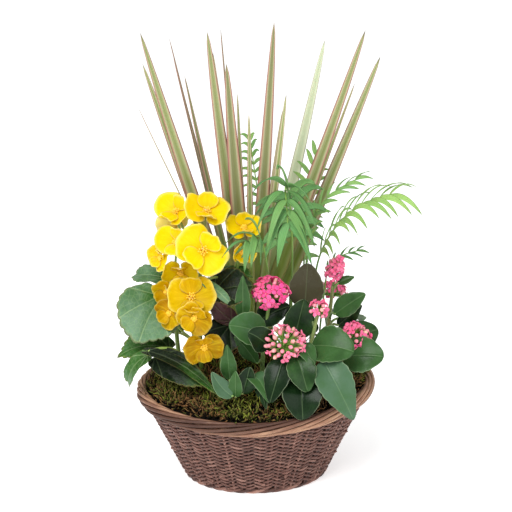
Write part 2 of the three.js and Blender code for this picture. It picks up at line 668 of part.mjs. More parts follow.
// One frond as one thin sheet, with the leaflets cut to its rib. The stalk stands in the soil, and the
// rib arches over. The leaflets stand in pairs from the share first of its length to its end, and droop.
// The first stand out from the rib by the angle open, and the last by 30 degrees. Each is widest at its
// middle.
function frondSolid({ rib, pairs, first, reach, width, faces, droop, open = 68 }, grow) {
  const path = [[rib[0][0], rib[0][1], rootDepth], ...rib].map(vector);
  const curve = new THREE.CatmullRomCurve3(path);
  const upper = vector(faces).normalize();
  const sheet = new Sheet();
  const across = (u) => curve.getTangentAt(u).cross(upper).normalize();

  const ribRow = (u, thickness) => {
    const side = across(u);
    const normal = side.clone().cross(curve.getTangentAt(u));
    return [-1, 1].map((hand) => {
      const point = curve.getPointAt(u).addScaledVector(side, hand * (ribWidth / 2 + grow));
      return sheet.add(point, normal, thickness);
    });
  };

  // A leaflet from the rib's edge between its corners near and far, on the right of the rib where hand
  // is 1 and on the left where it is -1.
  const addLeaflet = (hand, near, far, u, share) => {
    const angle = THREE.MathUtils.degToRad(THREE.MathUtils.lerp(open, lastOpen, share));
    const length = reach * (0.5 + 0.7 * Math.sin(Math.PI * (0.2 + 0.6 * share)));
    const along = curve.getTangentAt(u);
    const outwards = along.clone().multiplyScalar(Math.cos(angle));
    outwards.addScaledVector(across(u), hand * Math.sin(angle));
    const wide = along.addScaledVector(outwards, -along.dot(outwards)).setLength(width / 2 + grow);
    const root = curve.getPointAt(u);
    const tip = root.clone().addScaledVector(outwards, length + grow);
    tip.z -= droop * length;
    const normal = tip.clone().sub(root).cross(wide).multiplyScalar(hand).normalize();
    const middle = root.lerp(tip, 0.45);
    middle.z += 0.25 * droop * length;
    const low = sheet.add(middle.clone().sub(wide), normal, leafletThickness);
    const high = sheet.add(middle.clone().add(wide), normal, leafletThickness);
    const end = sheet.add(tip, normal, leafletThickness);
    const corners = hand > 0 ? [near, low, end, high, far] : [far, high, end, low, near];
    const [a, b, c, d, e] = corners;
    sheet.faces.push([a, b, d], [a, d, e], [b, c, d]);
  };

  const rows = [];
  const addRow = (u, thickness) => {
    rows.push(ribRow(u, thickness));
    if (rows.length > 1) sheet.fill(rows.at(-2), rows.at(-1));
  };
  for (const share of [0, 0.5, 0.9]) addRow(first * share, stalkThickness);
  const pitch = (0.98 - first) / (pairs - 1);
  for (let pair = 0; pair < pairs; pair++) {
    const share = pair / (pairs - 1);
    const u = first + pitch * pair;
    const thickness = THREE.MathUtils.lerp(stalkThickness, leafletThickness, share);
    addRow(u - pitch * 0.22, thickness);
    addRow(u + pitch * 0.22, thickness);
    const [near, far] = rows.slice(-2);
    addLeaflet(-1, near[0], far[0], u, share);
    addLeaflet(1, near[1], far[1], u, share);
  }
  return sheet.solid(grow);
}

const fronds = {
  front: {
    rib: [
      [42, 14, 82], [42, 14, 200], [42, 4, 296], [37, -15, 350],
      [33, -36, 362], [34, -57, 350], [36, -72, 324],
    ],
    pairs: 8, first: 0.66, reach: 46, width: 10, faces: [0, -0.7, 0.7], droop: 0.42,
  },
  right: {
    rib: [
      [64, 22, 82], [66, 22, 180], [73, 20, 255], [86, 8, 291],
      [108, -5, 323], [136, -14, 341], [158, -18, 348],
    ],
    pairs: 8, first: 0.64, reach: 50, width: 6.5, faces: [-0.3, -0.3, 1], droop: 0.34, open: 48,
  },
  upper: {
    rib: [[60, 12, 82], [58, 8, 220], [64, 10, 302], [78, 15, 330], [101, 22, 347], [121, 28, 356]],
    pairs: 6, first: 0.72, reach: 28, width: 5.5, faces: [-0.3, -0.2, 1], droop: 0.2, open: 48,
  },
  small: {
    rib: [[72, 32, 82], [80, 32, 200], [88, 30, 247], [102, 32, 259], [124, 36, 265]],
    pairs: 4, first: 0.8, reach: 20, width: 4, faces: [-0.2, -0.2, 1], droop: 0.15,
  },
  left: {
    rib: [[22, 2, 82], [18, -12, 200], [10, -34, 285], [2, -50, 309], [-12, -64, 304]],
    pairs: 4, first: 0.84, reach: 38, width: 9, faces: [-0.1, -0.6, 0.8], droop: 0.4,
  },
  tall: {
    rib: [[22, 66, 82], [14, 92, 240], [0, 108, 330], [-8, 110, 386]],
    pairs: 6, first: 0.76, reach: 20, width: 4.5, faces: [0, -1, 0.2], droop: 0.45,
  },
  rear: {
    rib: [[52, 50, 82], [58, 66, 240], [62, 76, 330], [72, 80, 376]],
    pairs: 5, first: 0.76, reach: 28, width: 6, faces: [0, -1, 0.2], droop: 0.2,
  },
  back: {
    rib: [[40, 58, 82], [42, 82, 220], [44, 112, 268], [46, 140, 258], [47, 156, 236]],
    pairs: 6, first: 0.54, reach: 40, width: 9, faces: [0, 0.5, 0.85], droop: 0.3,
  },
};

for (const [name, frond] of Object.entries(fronds)) {
  place(`palm_frond_${name}`, { color: 0x5f9440, roughness: 0.5 }, (grow) => frondSolid(frond, grow));
}

// ---- The dracaena ----------------------------------------------------------------------------------

const strap = {
  stations: (width) => (width < 8 ? [0, 0.3, 1] : [0, 0.14, 0.65, 1]),
  across: 1,
  thickness: 0.9,
  tooth: 0,
  rise: 0,
  lobe: 0,
  round: 0,
  outline: (t) => 0.05 + 1.22 * Math.min(1, 0.35 + 2 * t) * (1 - t) ** 0.62,
};
const crownFoot = 122; // the height where the cane ends and the crown of blades starts
const crownTop = 172;
const crownRadius = 9;
const crownPlace = [-5, 42];

// Each blade: its tip, its width, and the way its upper side faces.
const blades = [
  [[-132, 30, 527], 16, [0.3, -0.9, 0.1]],
  [[-132, 62, 484], 13, [0.2, -0.9, 0.1]],
  [[-102, 92, 508], 8, [0.9, -0.3, 0.1]],
  [[-98, 112, 480], 8, [0.9, -0.4, 0.1]],
  [[-84, 70, 470], 9, [0.6, -0.8, 0.1]],
  [[-54, -24, 537], 17, [0.2, -1, 0.1]],
  [[-42, 118, 514], 7, [0.9, -0.4, 0.1]],
  [[-33, -22, 501], 19, [0.1, -1, 0.1]],
  [[-52, 136, 483], 9, [0.2, 0.9, 0.1]],
  [[-22, 76, 446], 8, [0.4, -0.9, 0.1]],
  [[-8, -16, 443], 9, [0.1, -1, 0.1]],
  [[20, -30, 549], 16, [-0.1, -1, 0.1]],
  [[34, -18, 466], 11, [-0.5, -0.9, 0.1]],
  [[82, 116, 502], 16, [-0.3, -0.9, 0.1]],
  [[124, 24, 530], 16, [-0.3, -0.9, 0.1]],
  [[143, 44, 496], 16, [-0.4, -0.9, 0.1]],
  [[117, 84, 457], 9, [-0.7, -0.7, 0.1]],
  [[-134, 20, 439], 6, [0.9, 0.3, 0.1]],
  [[33, 130, 415], 13, [0, 1, 0.1]],
  [[70, 140, 425], 12, [0.2, 0.9, 0.1]],
];

// The rosette: a short crown, with the blades' bases sunk into it in a rising spiral. Each blade leaves
// on its own side and stands nearly straight.
function rosetteSolid(grow) {
  const [x, y] = crownPlace;
  const crown = stemSolid([vector([x, y, crownFoot]), vector([x, y, crownTop])], crownRadius, grow, 6);
  const solids = blades.map(([tip, width, faces], index) => {
    const end = vector(tip);
    const share = ((index * 7) % blades.length) / blades.length;
    const base = new THREE.Vector3(x, y, THREE.MathUtils.lerp(crownFoot + 6, crownTop - 4, share));
    const outwards = end.clone().sub(base).setZ(0).normalize();
    base.addScaledVector(outwards, crownRadius - 3);
    const arch = outwards.clone().multiplyScalar(2);
    return leafSolid(strap, { base, tip: end, arch, faces: vector(faces), width }, grow);
  });
  return joined([crown, ...solids]);
}

function caneSolid(grow) {
  const [x, y] = crownPlace;
  return stemSolid([vector([x, y, rootDepth]), vector([x, y, crownFoot - gap - grow])], 7, grow, 6);
}

place("dracaena_rosette", { color: 0x8c9a4e, roughness: 0.5 }, rosetteSolid);
place("dracaena_cane", { color: 0x7a6a4c, roughness: 0.85 }, caneSolid);

// ---- Inside the basket: moss, soil and liner -------------------------------------------------------

// The liner stands clear of the wall, with the level soil in it and the moss on top.
const linerGap = wallThickness + 6.5;
const linerThickness = 1.2;
const fillHeights = [soilTop, 50, 28]; // where the liner and the soil bend

// An oval body inside the basket, from pairs of a distance in from the basket's outer face, or Infinity
// for the axis, and a height.
function ovalLathe(pairs) {
  const profile = pairs.map(([inset, height]) => {
    const radius = inset === Infinity ? 0 : halfLength(height / basketHeight, inset);
    return new THREE.Vector2(radius, height);
  });
  const lathe = new THREE.LatheGeometry(profile, 20);
  return lathe.rotateX(Math.PI / 2).scale(1, ovalRatio, 1).rotateZ(basketTurn);
}

// The moss: a mound over the soil. Its upper face is tufted, and rises to the ends as the rim does.
function mossSolid(grow) {
  const edge = borderThickness - grow;
  const bottom = soilTop + gap - grow;
  const lathe = ovalLathe([
    [Infinity, bottom],
    [edge + 2, bottom],
    [edge + 1, mossEdge],
    [edge + 16, mossEdge + 8],
    [edge + 56, mossTop - 3],
    [Infinity, mossTop],
  ]);
  const position = lathe.attributes.position;
  for (let i = 0; i < position.count; i++) {
    const x = position.getX(i);
    const y = position.getY(i);
    const z = position.getZ(i);
    const tuft = 1.8 * Math.sin(0.21 * x + 1.1) * Math.cos(0.25 * y) + 1.2 * Math.sin(0.4 * x - 0.33 * y);
    if (z > mossEdge - 1) position.setZ(i, z * liftAt(x) + tuft + grow);
  }
  return solidOf(lathe);
}

function soilSolid(grow) {
  const inset = linerGap + linerThickness + gap - grow;
  const low = baseThickness + gap + linerThickness + gap - grow;
  return solidOf(
    ovalLathe([
      [Infinity, low],
      [inset + 4, low],
      [inset, fillHeights[2]],
      [inset, fillHeights[1]],
      [inset, soilTop + grow],
      [Infinity, soilTop + grow],
    ]),
  );
}

function linerSolid() {
  const inner = linerGap + linerThickness;
  const low = baseThickness + gap;
  return solidOf(
    ovalLathe([
      [Infinity, low],
      [linerGap + 4, low],
      [linerGap, fillHeights[2]],
      [linerGap, fillHeights[1]],
      [linerGap, soilTop],
      [inner, soilTop],
      [inner, fillHeights[1]],
      [inner, fillHeights[2]],
      [inner + 4, low + linerThickness],
      [Infinity, low + linerThickness],
    ]),
  );
}

place("moss", { color: 0x6f6a2a, roughness: 1 }, mossSolid);
place("soil", { color: 0x3a2a20, roughness: 1 }, soilSolid);
place("liner", { color: 0x2b2b2b, roughness: 0.6 }, linerSolid);

export default arrangement;
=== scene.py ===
"""The looks of a flower basket arrangement: an oval willow basket planted with a dracaena, a parlour palm,
a yellow begonia and pink kalanchoes, with moss over the soil. Metres, +Z up, the front towards -Y."""

import math

import bpy
import numpy as np
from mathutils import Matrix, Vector


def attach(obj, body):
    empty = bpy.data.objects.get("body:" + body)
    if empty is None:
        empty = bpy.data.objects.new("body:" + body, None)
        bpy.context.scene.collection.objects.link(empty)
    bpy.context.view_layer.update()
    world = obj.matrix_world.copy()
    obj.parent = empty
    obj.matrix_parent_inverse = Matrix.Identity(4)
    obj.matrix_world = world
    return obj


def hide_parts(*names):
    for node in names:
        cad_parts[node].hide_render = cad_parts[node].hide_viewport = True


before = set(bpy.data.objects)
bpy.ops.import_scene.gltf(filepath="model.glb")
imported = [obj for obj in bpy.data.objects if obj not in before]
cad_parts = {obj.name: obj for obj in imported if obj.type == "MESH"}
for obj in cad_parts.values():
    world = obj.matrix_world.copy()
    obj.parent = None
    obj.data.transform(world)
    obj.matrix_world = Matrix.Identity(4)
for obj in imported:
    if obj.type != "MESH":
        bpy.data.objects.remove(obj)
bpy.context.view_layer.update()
mm = 0.001


# ---- The basket's side wall ----------------------------------------------------------------------
# Upright willow stakes with rows of thinner willow weavers passed in and out of them, soaked, woven
# damp and stained brown. The ends of the weavers are trimmed on the outside.

rim_length = 286 * mm
foot_length = 175 * mm
oval_ratio = 0.867
basket_height = 109 * mm
rim_rise = 9 * mm  # how much higher the rim is at the two ends
rim_tilt = 3 * mm  # and how much the right end is higher than the middle
basket_turn = math.radians(10)
flare = 1.1  # the power of the height by which the wall spreads


def oval(turn, height, inset):
    """Points of the basket's oval. Its half length grows from the foot's to the rim's with a power of
    the height, less the inset. It is turned about Z, and lifted at its ends. height is a share."""
    spread = (rim_length - foot_length) / 2 * np.maximum(height, 0) ** flare
    half = foot_length / 2 + spread - inset
    along = half * np.cos(turn)
    across = half * oval_ratio * np.sin(turn)
    x = along * math.cos(basket_turn) - across * math.sin(basket_turn)
    y = along * math.sin(basket_turn) + across * math.cos(basket_turn)
    share = x / (rim_length / 2)
    z = height * (basket_height + rim_rise * share**2 + rim_tilt * share)
    return np.stack(np.broadcast_arrays(x, y, z), axis=-1)


def unit(vectors):
    """Each vector divided by its length; a vector of no length stays as it is."""
    length = np.linalg.norm(vectors, axis=-1, keepdims=True)
    return vectors / np.where(length > 0, length, 1)


def rods(paths, radius, upright, sides=8, tint=0.5, closed=False):
    """Round rods as grids of points: a circle carried along each path, square to it, with a point at
    both ends. A closed path ends where it starts. paths is (rods, stations, 3)."""
    ahead = np.gradient(paths, axis=1)
    if closed:
        ahead[:, 0] = ahead[:, -1] = paths[:, 1] - paths[:, -2]
    side = unit(np.cross(ahead, upright))
    over = unit(np.cross(side, ahead))
    turn = np.linspace(0, 2 * np.pi, sides + 1)[:, None]
    thick = np.broadcast_to(radius, paths.shape[:2])[:, :, None, None]
    grid = paths[:, :, None] + thick * (side[:, :, None] * np.cos(turn) + over[:, :, None] * np.sin(turn))
    steps = np.linalg.norm(np.diff(paths, axis=1), axis=-1)
    run = np.concatenate([np.zeros((len(paths), 1)), steps.cumsum(1)], axis=1)
    u, v = np.broadcast_arrays(run[:, :, None], turn[:, 0] / (2 * np.pi))
    uv = np.stack([u, v], axis=-1)
    if not closed:
        ends = [np.repeat(paths[:, i, None, None], sides + 1, axis=2) for i in (0, -1)]
        grid = np.concatenate([ends[0], grid, ends[1]], axis=1)
        uv = np.concatenate([uv[:, :1], uv, uv[:, -1:]], axis=1)
    own = np.zeros(grid.shape)
    own[..., 0] = np.broadcast_to(tint, len(paths))[:, None, None]
    own[..., 2] = (uv[..., 0] / run[:, -1:, None]) if np.all(run[:, -1] > 0) else 0
    return grid, uv, own


def piece(name, grids, look, slot, *nodes):
    """A mesh object from grids of points, each (pieces, rows, columns, 3) with its UV and its own
    values, of which the first is a tint. Points that fall together become one, so that seams and ends
    close, and a surface that encloses a negative volume is turned over."""
    corners, points, uvs, owns = [], [], [], []
    start = 0
    for grid, uv, own in grids:
        count, rows, columns = grid.shape[:3]
        index = np.arange(count * rows * columns).reshape(count, rows, columns)
        a, b = index[:, :-1, :-1], index[:, :-1, 1:]
        c, d = index[:, 1:, 1:], index[:, 1:, :-1]
        faces = np.stack([a, b, c, a, c, d], axis=-1).reshape(count, -1, 3)
        flat = grid.reshape(-1, 3)
        p, q, r = (flat[faces[..., i]] for i in range(3))
        middle = flat[index[:, 0, 0]][:, None]
        volume = np.einsum("ijk,ijk->i", p - middle, np.cross(q - middle, r - middle))
        faces[volume < 0] = faces[volume < 0][..., ::-1]
        corners.append(faces.reshape(-1, 3) + start)
        points.append(flat)
        uvs.append(uv.reshape(-1, 2))
        owns.append(own.reshape(-1, 3))
        start += len(flat)
    corners, points = np.concatenate(corners), np.concatenate(points)
    uvs, owns = np.concatenate(uvs), np.concatenate(owns)
    _, first, same = np.unique(np.round(points / (0.01 * mm)), axis=0, return_index=True, return_inverse=True)
    same = same.ravel()
    faces = same[corners]
    flat_ones = (faces == np.roll(faces, 1, axis=1)).any(axis=1)
    faces, corners = faces[~flat_ones], corners[~flat_ones]
    mesh = bpy.data.meshes.new(name)
    mesh.from_pydata(points[first], [], faces)
    mesh.polygons.foreach_set("use_smooth", np.ones(len(faces), bool))
    mesh.uv_layers.new(name="UVMap").data.foreach_set("uv", uvs[corners].ravel())
    mesh.attributes.new("own", "FLOAT_VECTOR", "CORNER").data.foreach_set("vector", owns[corners].ravel())
    obj = bpy.data.objects.new(name, mesh)
    bpy.context.scene.collection.objects.link(obj)
    mesh.materials.append(look)
    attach(obj, "root")
    if nodes:
        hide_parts(*nodes)


class Wire:
    """An output of a material's node, used in sums: each operator adds a Math node."""

    def __init__(self, finish, socket):
        self.finish = finish
        self.socket = socket

    def math(self, operation, *values):
        return self.finish.add("ShaderNodeMath", {"operation": operation}, dict(enumerate(values)))

    def __rsub__(self, other):
        return self.math("SUBTRACT", other, self)

    def between(self, low, high):
        """0 below low and 1 above high, with a smooth step between them."""
        settings = {"interpolation_type": "SMOOTHSTEP"}
        return self.finish.add("ShaderNodeMapRange", settings, {0: self, 1: low, 2: high})


operations = {"add": "ADD", "radd": "ADD", "sub": "SUBTRACT", "mul": "MULTIPLY", "rmul": "MULTIPLY"}
for method, operation in {**operations, "truediv": "DIVIDE", "pow": "POWER"}.items():
    setattr(Wire, f"__{method}__", lambda self, other, kind=operation: self.math(kind, self, other))


def srgb(code):
    """The linear colour of a six-digit screen colour."""
    channels = np.array([int(code[i : i + 2], 16) for i in (0, 2, 4)]) / 255
    linear = np.where(channels > 0.04, ((channels + 0.055) / 1.055) ** 2.4, channels / 12.92)
    return (*linear, 1)


class Finish:
    """A material while it is made. Its methods add nodes and hand back their outputs."""

    def __init__(self, name, **constants):
        self.material = bpy.data.materials.new(name)
        self.material.use_nodes = True
        self.tree = self.material.node_tree
        self.shader = self.tree.nodes["Principled BSDF"]
        for socket, value in constants.items():
            self.shader.inputs[socket.replace("_", " ").title().replace("Ior", "IOR")].default_value = value

    def add(self, kind, settings, sockets, output=0):
        """A node of that kind, its settings first, then the values or links of its sockets."""
        node = self.tree.nodes.new(kind)
        for key, value in settings.items():
            setattr(node, key, value)
        for socket, value in sockets.items():
            self.put(node, socket, value)
        return Wire(self, node.outputs[output])

    def put(self, node, socket, value):
        if isinstance(value, Wire):
            self.tree.links.new(value.socket, node.inputs[socket])
        else:
            node.inputs[socket].default_value = value

    def own(self):
        """The piece's tint and its two other own values."""
        vector = self.add("ShaderNodeAttribute", {"attribute_name": "own"}, {}, "Vector")
        return [self.add("ShaderNodeSeparateXYZ", {}, {0: vector}, i) for i in range(3)]

    def flat(self):
        """The UV map as a vector, and its two parts."""
        vector = self.add("ShaderNodeUVMap", {"uv_map": "UVMap"}, {})
        return [vector, *(self.add("ShaderNodeSeparateXYZ", {}, {0: vector}, i) for i in range(2))]

    def place(self):
        """Object coordinates."""
        return self.add("ShaderNodeTexCoord", {}, {}, "Object")

    def stretched(self, vector, scale):
        return self.add("ShaderNodeVectorMath", {"operation": "MULTIPLY"}, {0: vector, 1: scale})

    def noise(self, vector, scale, detail=3, roughness=0.55):
        sockets = {"Vector": vector, "Scale": scale, "Detail": detail, "Roughness": roughness}
        return self.add("ShaderNodeTexNoise", {}, sockets)

    def mix(self, factor, first, second):
        """A colour between two, each a six-digit code or an output."""
        colours = [srgb(colour) if isinstance(colour, str) else colour for colour in (first, second)]
        return self.add("ShaderNodeMix", {"data_type": "RGBA"}, {0: factor, 6: colours[0], 7: colours[1]}, 2)

    def layers(self, colour, *over):
        """A colour with others mixed over it in turn, each given after its factor."""
        for factor, other in over:
            colour = self.mix(factor, colour, other)
        return colour

    def done(self, colour, roughness, height=None, depth=1 * mm):
        """Links the colour, the roughness and a bump of that depth, and hands back the material."""
        self.put(self.shader, "Base Color", colour)
        self.put(self.shader, "Roughness", roughness)
        if height:
            sockets = {"Strength": 1, "Distance": depth, "Height": height}
            self.put(self.shader, "Normal", self.add("ShaderNodeBump", {}, sockets, "Normal"))
        return self.material


def willow_look(name, dark, brown, worn):
    """Stained willow: fibres along the rod, a tone for each rod, paler worn streaks, and painted shade,
    near black, where the second own value is 1, behind the rods in front."""
    finish = Finish(name, specular_ior_level=0.4)
    flat = finish.flat()[0]
    tint, inner, _ = finish.own()
    fibres = finish.noise(finish.stretched(flat, (90, 9, 1)), 1, 4, 0.6)
    blotches = finish.noise(finish.place(), 45, 3)
    streaks = finish.noise(finish.stretched(flat, (25, 2.5, 1)), 1.7, 2)
    colour = finish.layers(
        finish.mix((fibres * 0.5 + tint * 0.7 + blotches * 0.35).between(0.3, 1.15), dark, brown),
        ((streaks * 0.7 + tint * 0.25).between(0.45, 0.72) * 0.52, worn),
        # Painted shade: near-black brown on the weavers where they pass behind the stakes, in the gaps
        # between the rods in front.
        (inner.between(0.35, 0.7) * 0.9, "1c0e0a"),
    )
    return finish.done(colour, 0.75 - 0.3 * streaks, fibres + blotches * 0.5, 0.5 * mm)


rng = np.random.default_rng(11)
up = np.array([0.0, 0.0, 1.0])
stake_count = 56
row_count = 34
stake_radius = 1.7 * mm
weaver_radius = 1.42 * mm
weave_depth = 2.1 * mm  # how far a weaver's middle swings out and in
wall_middle = 3.2 * mm  # the stakes' middle, in from the outer face
wall_low = 8.5 * mm
wall_high = 93 * mm
zigzag = 1.3 * mm

willow = willow_look("stained_willow", "3c231d", "7c554a", "bf9786")

stake_turns = 2 * np.pi * np.arange(stake_count) / stake_count
stake_heights = np.linspace(4 * mm, 97 * mm, 9) / basket_height
stakes = oval(stake_turns[:, None], stake_heights[None], wall_middle)
stake_grid = rods(stakes, stake_radius, unit(stakes[:, :1] * (1, 1, 0)), 6, rng.random(stake_count))

weaver_turns = np.linspace(0, 2 * np.pi, stake_count * 6 + 1)[None]
rows = np.arange(row_count)[:, None]
row_heights = wall_low + (wall_high - wall_low) * rows / (row_count - 1)
swing = np.cos(stake_count / 2 * weaver_turns + np.pi * rows)
sway = np.sin(3 * weaver_turns + 2.1 * rows) + np.sin(7 * weaver_turns + 5.3 * rows)
weaver_heights = row_heights + zigzag * np.sin(stake_count / 2 * weaver_turns) + 0.25 * mm * sway
weavers = oval(weaver_turns, weaver_heights / basket_height, wall_middle - weave_depth * swing)
swell = weaver_radius * (
    1 + 0.09 * np.sin(2 * weaver_turns + 3.7 * rows) + 0.06 * np.sin(5 * weaver_turns + rows)
)
weaver_grid = rods(weavers, swell, up, 6, rng.random(row_count), closed=True)
tone = 0.5 + 0.5 * np.sin(3 * weaver_turns[0] + 9.1 * rows + 1.2 * np.sin(8 * weaver_turns[0]))
weaver_grid[2][..., 0] = 0.3 + 0.25 * weaver_grid[2][..., 0] + 0.2 * tone[:, :, None]
# The second own value is 1 where a weaver passes inside, behind a stake; the willow look paints shade there.
weaver_grid[2][..., 1] = (0.5 - 0.5 * swing)[:, :, None]

end_count = 26
end_turns = stake_turns[rng.integers(0, stake_count, end_count)][:, None] + 0.02
end_heights = row_heights[rng.integers(1, row_count - 1, end_count)]
end_run = np.linspace(0, 1, 4)[None]
ends = oval(
    end_turns + 0.05 * end_run * rng.choice([-1, 1], (end_count, 1)),
    (end_heights + 1.5 * mm * end_run) / basket_height,
    2.2 * mm - 3.4 * mm * end_run,
)
end_grid = rods(ends, 1.2 * mm, up, 6, rng.random(end_count))
piece("woven_wall", [stake_grid, weaver_grid, end_grid], willow, "willow", "basket_wall")


# ---- The rolled border ---------------------------------------------------------------------------
# The stakes' upper ends bent over and rolled round one another along the rim, as thick rods that
# turn about the border's middle. The stain is worn to tan in streaks along the rods.

border_height = 17 * mm
border_thickness = 13 * mm
border_rods = 8
border_twist = 3 + 1 / border_rods  # turns of a rod about the border's middle, once round the rim
rod_radius = 2.05 * mm

# With one rod's share of a turn left over each time round, one path makes all the rods.
run = np.linspace(0, 2 * np.pi * border_rods, 300 * border_rods + 1)[None]
spin = border_twist * run
jitter = 0.35 * mm * np.sin(21 / border_rods * run)
rim_middle = oval(run, 1, border_thickness / 2)
outwards = unit(rim_middle * (1, 1, 0))
swing_out = (border_thickness / 2 - rod_radius + jitter) * np.cos(spin)
swing_up = (border_height / 2 - rod_radius + jitter) * np.sin(spin) - border_height / 2
border = rim_middle + outwards * swing_out[..., None] + up * swing_up[..., None]
swell = rod_radius * (1 + 0.08 * np.sin(7 / border_rods * run) + 0.05 * np.sin(33 / border_rods * run))
border_grid = rods(border, swell, up, 9, closed=True)
border_grid[2][..., 0] = (0.5 + 0.5 * np.sin(9 / border_rods * run))[:, :, None]
border_look = willow_look("border_willow", "3e2318", "8f6550", "cfa884")
piece("rolled_border", [border_grid], border_look, "willow_border", "basket_border")


# ---- The base ------------------------------------------------------------------------------------
# An oval of willow rods woven over and under spokes, with a thicker wale of rods twisted round its
# edge, on which the basket stands.

ring_count = 11
spoke_count = 16
wale_rods = 3
wale_turns = 12  # of a rod about the wale's middle, once round the base

ring_turns = np.linspace(0, 2 * np.pi, spoke_count * 8 + 1)[None]
rings = np.arange(ring_count)[:, None]
ring_insets = foot_length / 2 * (1 - (rings + 0.8) / (ring_count + 1.8))
ring_paths = oval(ring_turns, 0, ring_insets)
ring_lift = 3.4 * mm + 1.4 * mm * np.cos(spoke_count / 2 * ring_turns + np.pi * rings)
ring_paths += up * ring_lift[..., None]
ring_grid = rods(ring_paths, 2 * mm, up, 6, rng.random(ring_count), closed=True)
spoke_turns = (2 * np.pi * np.arange(spoke_count) / spoke_count)[:, None]
spokes = oval(spoke_turns, 0, np.array([[0.96, 0.5, 0.06]]) * foot_length / 2)
spoke_grid = rods(spokes + up * 3.4 * mm, 1.6 * mm, up, 6, rng.random(spoke_count))
wale_run = np.linspace(0, 2 * np.pi * wale_rods, 240 * wale_rods + 1)[None]
wale_spin = (wale_turns + 1 / wale_rods) * wale_run
wale_middle = oval(wale_run, 0, 3.4 * mm) + up * 3.7 * mm
wale = wale_middle + unit(wale_middle * (1, 1, 0)) * (2 * mm * np.cos(wale_spin))[..., None]
wale = wale + up * (1.6 * mm * np.sin(wale_spin))[..., None]
wale_grid = rods(wale, 2.1 * mm, up, 7, closed=True)
wale_grid[2][..., 0] = (0.5 + 0.5 * np.sin(5 / wale_rods * wale_run))[:, :, None]
piece("woven_base", [ring_grid, spoke_grid, wale_grid], willow, "willow", "basket_base")


# ---- The liner and the soil ----------------------------------------------------------------------
# A waterproof sheet pressed into the basket, creased where it bends, and dark potting soil in it.
# Both keep their CAD shapes; the moss hides them.

liner_look = Finish("liner_film")
creases = liner_look.noise(liner_look.place(), 60, 4)
colour = liner_look.mix(creases, "1c1a18", "33302c")
film = liner_look.done(colour, 0.25 + 0.3 * creases, creases, 1 * mm)

soil_look = Finish("potting_soil", specular_ior_level=0.2)
crumbs = soil_look.noise(soil_look.place(), 350, 6, 0.7)
colour = soil_look.mix(crumbs.between(0.3, 0.7), "17100b", "4a3626")
earth = soil_look.done(colour, 0.9 + 0.1 * crumbs, crumbs, 2 * mm)
for node, look in (("liner", film), ("soil", earth)):
    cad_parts[node].data.materials.clear()
    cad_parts[node].data.materials.append(look)


# ---- The moss ------------------------------------------------------------------------------------
# Sheets of dried and green moss laid over the soil, mounded in the middle and tucked in behind the
# border. It is a felt of short feathery sprigs, green in some patches and rust brown in others.

moss_top = 121 * mm
moss_edge = 107 * mm
soil_top = 92 * mm


def mound(turn, share):
    """Points of the moss at a turn, and at a share of the way from its middle to the border. It falls
    off towards the border with the share's third power, rises to the ends as the rim does, and is
    broken up by waves of three sizes."""
    edge = oval(turn, moss_edge / basket_height, border_thickness - 1 * mm)
    x, y = edge[..., 0] * share, edge[..., 1] * share
    fall = (moss_top - moss_edge) * share**3 + 5 * mm * np.clip(share - 0.86, 0, 1) / 0.14
    span = x / (rim_length / 2)
    lift = 1 + (rim_rise * span**2 + rim_tilt * span) / basket_height
    waves = 2.2 * np.sin(150 * x + 1) * np.cos(170 * y) + 1.2 * np.sin(390 * x - 310 * y)
    waves = waves + 0.8 * np.sin(700 * x + 200 * y) * np.sin(650 * y - 2)
    z = (moss_top - fall) * lift + waves * mm * (1 - 0.6 * share**6)
    return np.stack(np.broadcast_arrays(x, y, z), axis=-1)


def patches(x, y):
    """1 in green patches of the moss, 0 in rust brown ones, from slow waves over the mound."""
    slow = np.sin(47 * x + 2.2) * np.cos(61 * y - 0.6) + 0.6 * np.sin(120 * x - 90 * y + 1)
    return 1 / (1 + np.exp(-3.2 * slow - 0.4))


def moss_look():
    """Moss: rust brown to green by the sprig's tint, with painted shade, near black, towards its root."""
    finish = Finish("moss", specular_ior_level=0.15)
    tint, _, share = finish.own()
    grain = finish.noise(finish.place(), 500, 3)
    brown = finish.mix(tint.between(-0.1, 0.45), "361e12", "8a5f38")
    green = finish.mix(tint.between(0.5, 1.2), "3a4a14", "8e9a34")
    colour = finish.mix(tint.between(0.4, 0.6), brown, green)
    colour = finish.mix(grain.between(0.4, 0.7) * 0.3, colour, "c2a870")
    # Painted shade: near black towards the roots of the sprigs, down in the felt.
    colour = finish.mix(share.between(0.35, 1), "0c0804", colour)
    return finish.done(colour, 0.95 - 0.2 * grain, grain, 0.6 * mm)


moss = moss_look()
mound_turns = np.linspace(0, 2 * np.pi, 181)[None, None]
shares = np.array([0.0, 0.08, *np.linspace(0.16, 1, 26)])[None, :, None]
top = mound(mound_turns, shares)
edge = oval(mound_turns, soil_top / basket_height, border_thickness + 2 * mm) * (1, 1, 0)
under = edge * np.array([1, 0.5, 0])[:, None, None] + up * (soil_top + 0.5 * mm)
grid = np.concatenate([top, under], axis=1)
own = np.zeros(grid.shape)
own[..., 0] = patches(grid[..., 0], grid[..., 1])
# At this share the whole mound takes the near-black painted shade that lies under the sprigs.
own[..., 2] = 0.25
piece("moss_mound", [(grid, grid[..., :2], own)], moss, "moss", "moss")

